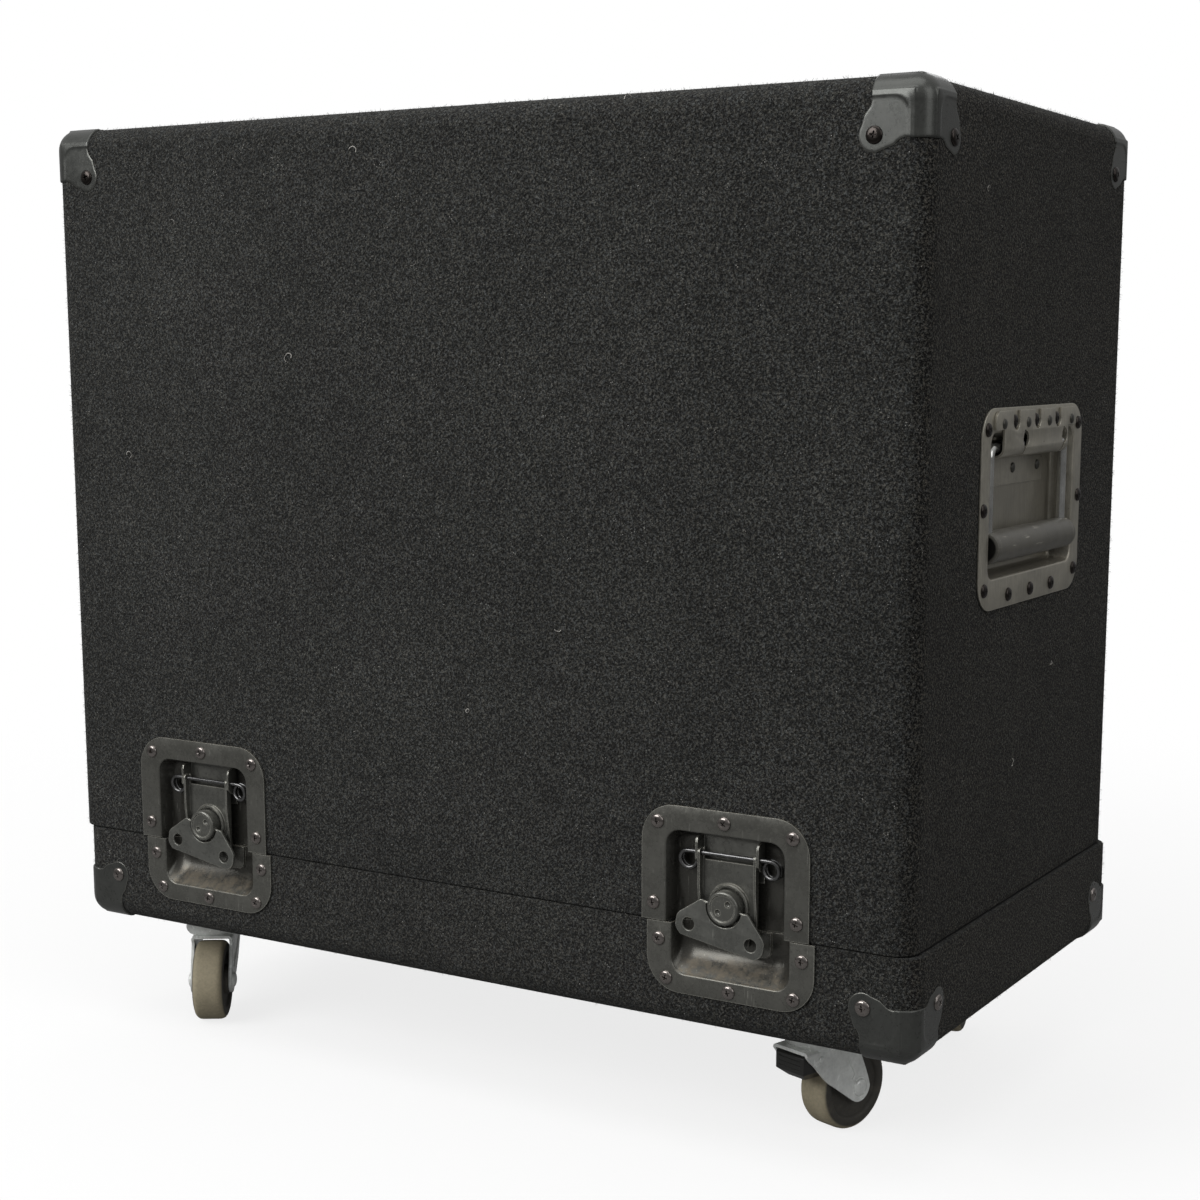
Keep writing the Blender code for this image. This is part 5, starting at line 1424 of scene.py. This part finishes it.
def handleDish():
    side, tall, mouth = handle["halfWidth"], handle["halfTall"], handle["mouth"]
    top, low, corner = handle["mouthTop"], handle["mouthLow"], handle["mouthCorner"]
    depth, lip = handle["depth"], handle["lip"]
    rings = [(-side, side, -tall, tall, handle["corner"], 0.0)]
    for step in range(5):
        angle = math.pi / 2 * step / 4
        out, down = lip * (1 - math.sin(angle)), lip * (1 - math.cos(angle))
        rings.append((-mouth - out, mouth + out, -low - out, top + out, corner + out, down))
    rings.append((-mouth + 0.001, mouth - 0.001, -low + 0.001, top - 0.001, corner, depth * 0.8))
    for step in range(1, 6):
        angle = math.pi / 2 * step / 5
        inset = 0.001 + 0.003 * (1 - math.cos(angle))
        deep = depth * (0.8 + 0.2 * math.sin(angle))
        rings.append((-mouth + inset, mouth - inset, -low + inset, top - inset, corner, deep))
    dish = pressed(rings, handle["sheet"], steps=10)
    # A lighter share of painted shade inside the handle dish.
    mark(soften(dish, 0.0003, 2, 50), "deep", lambda place: 0.35 * dishDepth(place))
    strip = roundedOutline(-0.055, 0.055, 0.012, 0.030, 0.0012, 3)
    doubler = plate([strip], depth - 0.0012, depth + 0.0004, "Y", 0.0003)
    return merged("handleDish", dish, doubler)


def hingePlate():
    sheet, radius = 0.0016, 0.0059
    centre = (handle["pivotDepth"], handle["pivotHeight"])
    front = centre[0] - radius
    path = [(front, 0.0605), (front, 0.052), (front, 0.0455)]
    path += arc(centre, radius, 180, 450, 40)
    path[2:3] = []
    item = bentStrip(path, -0.073, 0.073, sheet, "X")
    for side in (-1, 1):
        low, high = sorted((side * 0.058, side * 0.093))
        cut(item, block((low, -0.02, -0.02), (high, 0.02, 0.049)))
    for middle in (-0.022, 0.050):
        cut(item, rod((middle + 0.0015, -0.02, 0.0420), (middle + 0.0015, 0.0045, 0.0420), 0.0052, 28))
        cut(item, block((middle - 0.0015, -0.02, -0.02), (middle + 0.0015, 0.02, 0.048)))
    for middle in (-0.038, 0.0, 0.038):
        outline = arc((middle, 0.054), 0.006, 180, 360, 20)
        outline += [(middle + 0.006, 0.08), (middle - 0.006, 0.08)]
        cut(item, plate([outline], -0.02, 0.02, "Y"))
    for side in (-1, 1):
        corner = [(side * 0.0665, 0.0610), (side * 0.074, 0.0610), (side * 0.074, 0.0535)]
        corner += arc((side * 0.0665, 0.0540), 0.0065, 0 if side > 0 else 180, 90, 8)
        cut(item, plate([corner], -0.02, 0.02, "Y"))
    return soften(cleaned(item), 0.0002, 2, 40)


def bailLine(top):
    half, drop, bend = handle["half"], handle["drop"], handle["bend"]
    points = [(half, top)]
    points += arc((half - bend, -drop + bend), bend, 0, -90, 10)
    points += arc((-half + bend, -drop + bend), bend, -90, -180, 10)
    points.append((-half, top))
    return points


def bailWire():
    half, bend = handle["half"], handle["bend"]
    points = [(0.0, 0.0), (0.03, 0.0)]
    points += arc((half - bend, -bend), bend, 90, 0, 10)
    points += bailLine(-bend - 0.002)[1:-1]
    points += arc((-half + bend, -bend), bend, 180, 90, 10)
    points += [(-0.03, 0.0)]
    return wire([(x, 0, z) for x, z in points], handle["wire"], 22, True)


def returnSpring():
    # Close-wound spring on the bail inside the roll.
    points = []
    turns, perTurn, radius, half = 62, 14, 0.00395, handle["sleeveLength"] / 2 - 0.001
    for step in range(turns * perTurn + 1):
        angle = 2 * math.pi * step / perTurn
        x = -half + 2 * half * step / (turns * perTurn)
        points.append((x, radius * math.cos(angle), radius * math.sin(angle)))
    return wire(points, 0.0007, 6)


def gripSleeve():
    half, radius = 0.0715, 0.0102
    profile = [(0, -half), (radius * 0.52, -half), (radius * 0.56, -half + 0.0003),
        (radius * 0.60, -half)]
    profile += [(radius - 0.0016, -half), (radius - 0.0006, -half + 0.0004), (radius, -half + 0.0014)]
    profile += [(radius, -half + 0.0045), (radius - 0.0003, -half + 0.0048), (radius, -half + 0.0051)]
    mirrored = [(r, -x) for r, x in reversed(profile)]
    middle = []
    for step in range(1, 24):
        x = (-half + 0.0051) + (2 * half - 0.0102) * step / 24
        middle.append((radius + 0.00012 * math.sin(step * 2.1) + 0.00010 * math.sin(step * 5.3), x))
    sleeve = turned(profile + middle + mirrored, 44, "X")
    top = -handle["drop"] + radius * 2
    path = [(x, 0, z + handle["drop"]) for x, z in bailLine(top)]
    cut(sleeve, wire(path, handle["wire"] + gap, 20))
    for side in (-1, 1):
        cut(sleeve, rod((side * (half - 0.0016), 0, 0), (side * (half + 0.01), 0, 0),
            radius - 0.0026, 36))
    # Marks the hollow ends, which the finish paints near black as painted shade.
    def inHollow(place):
        return 1.0 if abs(place.x) > half - 0.0030 and place.yz.length < radius - 0.0021 else 0.0

    return mark(cleaned(sleeve), "end", inHollow)


handleMasters = {
    "dish": handleDish(), "plate": hingePlate(), "bail": bailWire(),
    "spring": returnSpring(), "grip": gripSleeve(),
}
print("handle masters", {key: len(item.data.polygons) for key, item in handleMasters.items()})
screwSpots = [(-0.040, -0.055), (-0.001, -0.055), (0.038, -0.055), (-0.082, -0.049), (0.082, -0.049)]
screwSpots += [(-0.082, 0.0495), (0.082, 0.0495), (-0.0865, 0.0005), (0.0865, 0.0005)]
slotSpots = [(-0.038, 0.0535), (0.0, 0.0535), (0.038, 0.0535)]
rivetSpots = [(-0.0595, 0.0525), (-0.0175, 0.0525), (0.0210, 0.0525), (0.0640, 0.0525)]
handleScrews, handleRivets = [], []
for name, side in (("left", -1), ("right", 1)):
    place = handleFrame(name, side)
    pivot = place @ Matrix.Translation((0, handle["pivotDepth"], handle["pivotHeight"]))
    label = name.title()
    copyAt(handleMasters["dish"], "handleDish" + label, handleSteel, "lid", place,
        ("handle_dish_" + name,))
    node = "handle_hinge_plate_" + name
    copyAt(handleMasters["plate"], "handleHinge" + label, handleSteel, "lid", place, (node,),
        50)
    body = "handle_" + name
    node = "handle_bail_" + name
    copyAt(handleMasters["bail"], "handleBail" + label, bailSteel, body, pivot, (node,))
    copyAt(handleMasters["spring"], "handleSpring" + label, springSteel, body, pivot, (node,),
        60)
    gripAt = pivot @ Matrix.Translation((0, 0, -handle["drop"]))
    node = "handle_grip_" + name
    copyAt(handleMasters["grip"], "handleGrip" + label, gripPlastic, body, gripAt, (node,))
    outward = place.to_3x3() @ Vector((0, -1, 0))
    for x, z in screwSpots + slotSpots:
        handleScrews.append((place @ Vector((x, 0.0001, z)), outward, chance.uniform(0, math.pi)))
    for x, z in rivetSpots:
        handleRivets.append((place @ Vector((x, -0.0019, z)), outward, 0.0))
    for x in (-0.045, 0.0, 0.045):
        handleRivets.append((place @ Vector((x, handle["depth"] - 0.0012, 0.0225)), outward, 0.0))
discard(*handleMasters.values())
fixed("handleScrews", smallScrewMaster, handleScrews, screwSteel, "lid", 1.15)
fixed("handleRivets", rivetHeadMaster, handleRivets, rivetSteel, "lid", 1.2)
print("handles done")


# Casters: kingpin axis at the origin under the case, the wheel trailing to +y

caster = {
    "height": 0.082, "trail": 0.0235, "wheel": 0.030, "width": 0.023, "hub": 0.0258,
    "fork": 0.0022, "crown": 0.018, "axle": 0.004,
}
axleZ = -caster["height"] + caster["wheel"]


def casterPlate():
    outline = roundedOutline(-0.023, 0.023, -0.032, 0.032, 0.006, 8)
    return plate([outline], -gap - 0.0025, -gap, "Z", 0.0004)


def casterRace():
    # Upper race and kingpin, in one turned piece.
    head = -caster["crown"] - caster["fork"] - gap
    profile = [(0, head - 0.0026), (0.0045, head - 0.0026), (0.0066, head - 0.0022),
        (0.0075, head - 0.0014)]
    profile += [(0.0078, head - 0.0006), (0.0078, head), (0.0045, head), (0.0045, -0.0078),
        (0.0180, -0.0078)]
    profile += [(0.0192, -0.0075), (0.0201, -0.0067), (0.0205, -0.0056), (0.0202, -0.0040),
        (0.0196, -0.0030)]
    profile += [(0.0196, -0.0022), (0, -0.0022)]
    return turned(profile, 64)


def legSide():
    front = [(-0.0468, 0.0271), (-0.0421, 0.0227), (-0.0374, 0.0174), (-0.0302, 0.0097),
        (-0.0231, 0.0046)]
    rear = [(0.0078, 0.0065), (0.0019, 0.0207), (-0.0015, 0.028)]
    low = -caster["crown"] - caster["fork"]
    trail = caster["trail"]
    line = [(0.0235, -caster["crown"]), (-0.0265, -caster["crown"]), (-0.0265, low - 0.0008)]
    joined = arc((trail, axleZ), 0.010, 236, 355, 20)
    line += smoothLine([(trail + y, axleZ + z) for y, z in front] + [joined[0]], 6)[:-1]
    line += joined
    line += smoothLine([joined[-1]] + [(trail + y, axleZ + z) for y,
        z in rear] + [(0.0235, low - 0.001)], 6)[1:]
    return line


def casterFork(braked):
    inner = caster["hub"] / 2 + gap
    sheet = caster["fork"]
    side = inner + sheet / 2
    level = -caster["crown"] - sheet / 2
    bend = 0.0016
    path = [(-side, -0.064), (-side, level - bend)]
    path += arc((-side + bend, level - bend), bend, 180, 90, 5)[1:]
    path += arc((side - bend, level - bend), bend, 90, 0, 5)
    path += [(side, -0.064)]
    fork = bentStrip(path, -0.035, 0.04, sheet, "Y")
    cleanedOutline = legSide()
    cleanedOutline[0:2] = [(0.0235, 0.0), (-0.0265, 0.0)]
    common(fork, plate([cleanedOutline], -0.03, 0.03, "X"))
    cut(fork, rod((0, 0, -0.05), (0, 0, 0), 0.0048, 32))
    # A shallow pressed hollow runs down each leg.
    for x in (-1, 1):
        hollow = [(-0.0135, -0.0265), (-0.0050, -0.0245), (0.0120, -0.0300), (0.0190, -0.0420)]
        hollow += [(0.0165, -0.0455), (0.0040, -0.0385), (-0.0050, -0.0335)]
        near = x * (inner + sheet - 0.0006)
        far = x * (inner + sheet + 0.003)
        tool = plate([filleted(hollow, 0.0045, 6)], min(near, far), max(near, far), "X", 0.0)
        cut(fork, tool)
    soften(cleaned(fork), 0.00045, 3, 38)
    race = [(0.0048, level), (0.0210, level), (0.0222, level + 0.0016), (0.0225, level + 0.0028)]
    race += [(0.0222, level + 0.0060), (0.0214, -0.0090), (0.0206, -0.0082), (0.0196, -0.0081),
        (0.0048, -0.0081)]
    pieces = [fork, turned(race, 64)]
    reach = inner + sheet
    for x in (-1, 1):
        dome = [(0, 0.0028)]
        for step in range(1, 8):
            angle = math.pi / 2 * step / 7
            dome.append((0.0068 * math.sin(angle), 0.0006 + 0.0022 * math.cos(angle)))
        dome += [(0.0068, -0.0004), (0, -0.0004)]
        head = turned([(r * 0.88, x * (reach + h)) for r, h in dome], 40, "X")
        head.data.transform(Matrix.Translation((0, caster["trail"], axleZ)))
        pieces.append(head)
        ring = [(0.0058, reach - 0.0002), (0.0072, reach - 0.0002), (0.0070, reach + 0.0003),
            (0.0060, reach + 0.0004)]
        washer = turned([(r, x * h) for r, h in ring], 40, "X")
        washer.data.transform(Matrix.Translation((0, caster["trail"], axleZ)))
        pieces.append(washer)
    pieces.append(rod((-reach, caster["trail"], axleZ), (reach, caster["trail"], axleZ),
        caster["axle"], 28))
    if braked:
        pin = rod((-reach - 0.001, -0.0135, -0.0245), (reach + 0.001, -0.0135, -0.0245), 0.002, 24)
        pieces.append(soften(pin, 0.0004, 2))
    return merged("fork", *pieces)


def casterWheel():
    # Moulded wheel with a hub, a dished web and a slightly crowned tread.
    half, hub, rim = caster["width"] / 2, caster["hub"] / 2, caster["wheel"]
    right = [(0.0043, hub), (0.0098, hub), (0.0106, hub - 0.0003), (0.0110, hub - 0.0010),
        (0.0112, half - 0.0020)]
    right += [(0.0120, half - 0.0025), (0.0196, half - 0.0025), (0.0208, half - 0.0021),
        (0.0216, half - 0.0010)]
    right += [(0.0226, half - 0.0002), (0.0236, half), (rim - 0.0040, half),
        (rim - 0.0024, half - 0.0006)]
    right += [(rim - 0.0010, half - 0.0018), (rim - 0.0003, half - 0.0032),
        (rim - 0.0001, half - 0.0044)]
    crowned = [(rim, half - 0.0065), (rim, half - 0.0095)]
    right += crowned
    profile = [(radius, -x) for radius, x in right] + list(reversed(right))
    wheel = turned(profile, 96, "X")

    def tread(place):
        radius = math.hypot(place.y, place.z)
        return max(0.0, min(1.0, (radius - (rim - 0.004)) / 0.0035))

    return mark(wheel, "tread", tread)


def brakePedal():
    top = -caster["crown"] - caster["fork"] - 0.0013
    toe, rear = top - 0.012, -0.0088
    shoe = toe - 0.0065
    reach = caster["wheel"] + 0.0013
    outline = [(-0.0258, top), (-0.0268, top - 0.001), (-0.0268, toe), (-0.0200, shoe + 0.001)]
    for step in range(9):
        rise = shoe + 0.008 * step / 8
        drop = rise - axleZ
        outline.append((caster["trail"] - math.sqrt(reach * reach - drop * drop), rise))
    outline += [(rear + 0.0058, top - 0.0085), (rear, top - 0.0035), (rear, top)]
    hole = arc((-0.0135, -0.0245), 0.0023, 0, 345, 24)
    pedal = plate([filleted(outline, 0.0008, 3), hole], -0.01225, 0.01225, "X")
    front = [(-0.01225, top + 0.01), (-0.01225, toe), (-0.0060, shoe - 0.0001)]
    front += [(-x, z) for x, z in reversed(front)]
    common(pedal, plate([filleted(front, 0.002, 4)], -0.04, 0.01, "Y"))
    for step in range(3):
        z = toe + 0.0030 + step * 0.0030
        cut(pedal, block((-0.0095, -0.0275, z - 0.0005), (0.0095, -0.0263, z + 0.0005)))
    return soften(cleaned(pedal), 0.0004, 2, 38)


casterMasters = {
    "plate": casterPlate(), "race": casterRace(), "fork": casterFork(False),
    "forkBraked": casterFork(True),
    "wheel": casterWheel(), "pedal": brakePedal(),
}
print("caster masters", {key: len(item.data.polygons) for key, item in casterMasters.items()})
bolts = []
for name, sideX, sideY in spots:
    label = name.title().replace("_", "")
    low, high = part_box("caster_plate_" + name)
    kingpin = Vector(((low.x + high.x) / 2, (low.y + high.y) / 2, high.z + gap))
    toWheel = jointAt["caster_wheel_" + name + "_roll"] - kingpin
    spin = math.atan2(-toWheel.x, toWheel.y)
    fixedAt = Matrix.Translation(kingpin)
    turnedAt = fixedAt @ Matrix.Rotation(spin, 4, "Z")
    node = "caster_plate_" + name
    copyAt(casterMasters["plate"], "casterPlate" + label, zinc, "base", fixedAt, (node,))
    copyAt(casterMasters["race"], "casterRace" + label, raceZinc, "base", fixedAt, (node,))
    braked = sideX > 0
    node = "caster_fork_" + name
    source = casterMasters["forkBraked" if braked else "fork"]
    copyAt(source, "casterFork" + label, zinc, node, turnedAt, (node,), 35)
    node = "caster_wheel_" + name
    wheelAt = turnedAt @ Matrix.Translation((0, caster["trail"], axleZ))
    copyAt(casterMasters["wheel"], "casterWheel" + label, rubber, node, wheelAt, (node,))
    if braked:
        node = "caster_brake_pedal_" + name
        copyAt(casterMasters["pedal"], "brakePedal" + label, pedalPlastic, "brake_pedal_" + name,
            turnedAt, (node,))
    for x in (-0.0165, 0.0165):
        for y in (-0.0265, 0.0265):
            spot = kingpin + Vector((x, y, -gap - 0.0023))
            bolts.append((spot, Vector((0, 0, -1)), chance.uniform(0, math.pi)))
discard(*casterMasters.values())
fixed("casterBolts", boltHeadMaster, bolts, zinc, "base", 0.85, "zinc")
print("casters done")


# Inside: board shells keep their CAD shape; the foam lining is softer than its CAD solid

for name in ("lid_shell", "base_shell"):
    shell = frame["nodes"][name]
    shell.data.materials.clear()
    shell.data.materials.append(ply)


def softLining(name, body):
    source = frame["nodes"][name]
    mesh = source.data.copy()
    mesh.transform(source.matrix_world)
    item = bpy.data.objects.new(name + "Soft", mesh)
    bpy.context.scene.collection.objects.link(item)
    step = item.modifiers.new("even", "REMESH")
    step.mode = "VOXEL"
    step.voxel_size = 0.0034
    step = item.modifiers.new("soft", "SMOOTH")
    step.factor = 0.5
    step.iterations = 4
    applyAll(item)
    settle(item, body + "Foam", foam, body, nodes=(name,), smooth=60)
    print(name, len(item.data.polygons))


softLining("lid_foam", "lid")
softLining("base_foam", "base")
discard(cornerScrewMaster, smallScrewMaster, rivetHeadMaster, boltHeadMaster, fibre)


# Stage, light and camera

view = {
    "place": (0.8008, -1.2654, 0.5081), "azimuth": 30.62, "elevation": 9.40, "roll": 0.167,
    "lens": 61.43, "shiftX": -0.03825, "shiftY": 0.0718,
    "key": 50.0, "side": 9.0, "back": 8.0, "top": 18.0,
    "ambientLow": 0.10, "ambientHigh": 0.65, "floorShare": 0.20,
}


def makeFloor():
    shape = bmesh.new()
    bmesh.ops.create_circle(shape, cap_ends=True, segments=96, radius=3.2)
    floor = meshObject("floor", shape)
    made = Finish("floor", Specular_IOR_Level=0.1)
    across = made.node("ShaderNodeVectorMath", {"operation": "LENGTH"}, {0: made.place}, "Value")
    grain = made.noise(40, 3.0, 0.6)
    tone = 0.90 + grain * 0.02
    level = made.node("ShaderNodeCombineColor", None, {"Red": tone, "Green": tone, "Blue": tone})
    made.give(Base_Color=level, Roughness=0.7 + grain * 0.1,
        Alpha=across.within(1.5, 0.45) * view["floorShare"])
    floor.data.materials.append(made.material)


def makeWorld():
    world = bpy.data.worlds.new("studio")
    world.use_nodes = True
    bpy.context.scene.world = world
    tree = world.node_tree
    tree.nodes.clear()
    rays = tree.nodes.new("ShaderNodeLightPath")
    seen = tree.nodes.new("ShaderNodeMath")
    seen.operation = "MAXIMUM"
    tree.links.new(rays.outputs["Is Camera Ray"], seen.inputs[0])
    tree.links.new(rays.outputs["Is Transmission Ray"], seen.inputs[1])
    white = tree.nodes.new("ShaderNodeBackground")
    white.inputs["Color"].default_value = (1, 1, 1, 1)
    heading = tree.nodes.new("ShaderNodeTexCoord")
    parts = tree.nodes.new("ShaderNodeSeparateXYZ")
    tree.links.new(heading.outputs["Generated"], parts.inputs[0])
    rise = tree.nodes.new("ShaderNodeMapRange")
    rise.interpolation_type = "SMOOTHSTEP"
    tree.links.new(parts.outputs["Z"], rise.inputs["Value"])
    rise.inputs["From Min"].default_value = -0.25
    rise.inputs["From Max"].default_value = 0.85
    rise.inputs["To Min"].default_value = view["ambientLow"]
    rise.inputs["To Max"].default_value = view["ambientHigh"]
    soft = tree.nodes.new("ShaderNodeBackground")
    soft.inputs["Color"].default_value = (1, 1, 1, 1)
    tree.links.new(rise.outputs["Result"], soft.inputs["Strength"])
    blend = tree.nodes.new("ShaderNodeMixShader")
    tree.links.new(seen.outputs[0], blend.inputs[0])
    tree.links.new(soft.outputs[0], blend.inputs[1])
    tree.links.new(white.outputs[0], blend.inputs[2])
    end = tree.nodes.new("ShaderNodeOutputWorld")
    tree.links.new(blend.outputs[0], end.inputs["Surface"])


def addLight(name, place, target, size, power):
    data = bpy.data.lights.new(name, "AREA")
    data.shape = "RECTANGLE"
    data.size, data.size_y = size
    data.energy = power
    lamp = bpy.data.objects.new(name, data)
    bpy.context.scene.collection.objects.link(lamp)
    lamp.location = place
    lamp.rotation_euler = (Vector(target) - Vector(place)).to_track_quat("-Z", "Y").to_euler()
    return lamp


def addCamera():
    azimuth, elevation, roll = (math.radians(view[key]) for key in ("azimuth", "elevation", "roll"))
    level = math.cos(elevation)
    back = Vector((math.sin(azimuth) * level, -math.cos(azimuth) * level, math.sin(elevation)))
    across = Vector((math.cos(azimuth), math.sin(azimuth), 0))
    above = back.cross(across)
    right = across * math.cos(roll) + above * math.sin(roll)
    up = above * math.cos(roll) - across * math.sin(roll)
    data = bpy.data.cameras.new("camera")
    data.lens = view["lens"]
    data.sensor_width = 36
    data.shift_x = view["shiftX"]
    data.shift_y = view["shiftY"]
    camera = bpy.data.objects.new("camera", data)
    bpy.context.scene.collection.objects.link(camera)
    turn = Matrix((right, up, back)).transposed().to_4x4()
    camera.matrix_world = Matrix.Translation(view["place"]) @ turn
    bpy.context.scene.camera = camera


makeFloor()
makeWorld()
addLight("key", (-1.1, -2.3, 1.7), (0, 0, 0.3), (1.8, 1.4), view["key"])
addLight("top", (0.1, -0.7, 2.6), (0, -0.1, 0.3), (2.4, 1.4), view["top"])
addLight("side", (2.4, -0.7, 1.5), (0, 0, 0.3), (1.2, 1.6), view["side"])
addLight("back", (-1.0, 2.2, 1.8), (0, 0, 0.3), (1.6, 1.2), view["back"])
addCamera()
bpy.context.scene.view_settings.view_transform = "Standard"
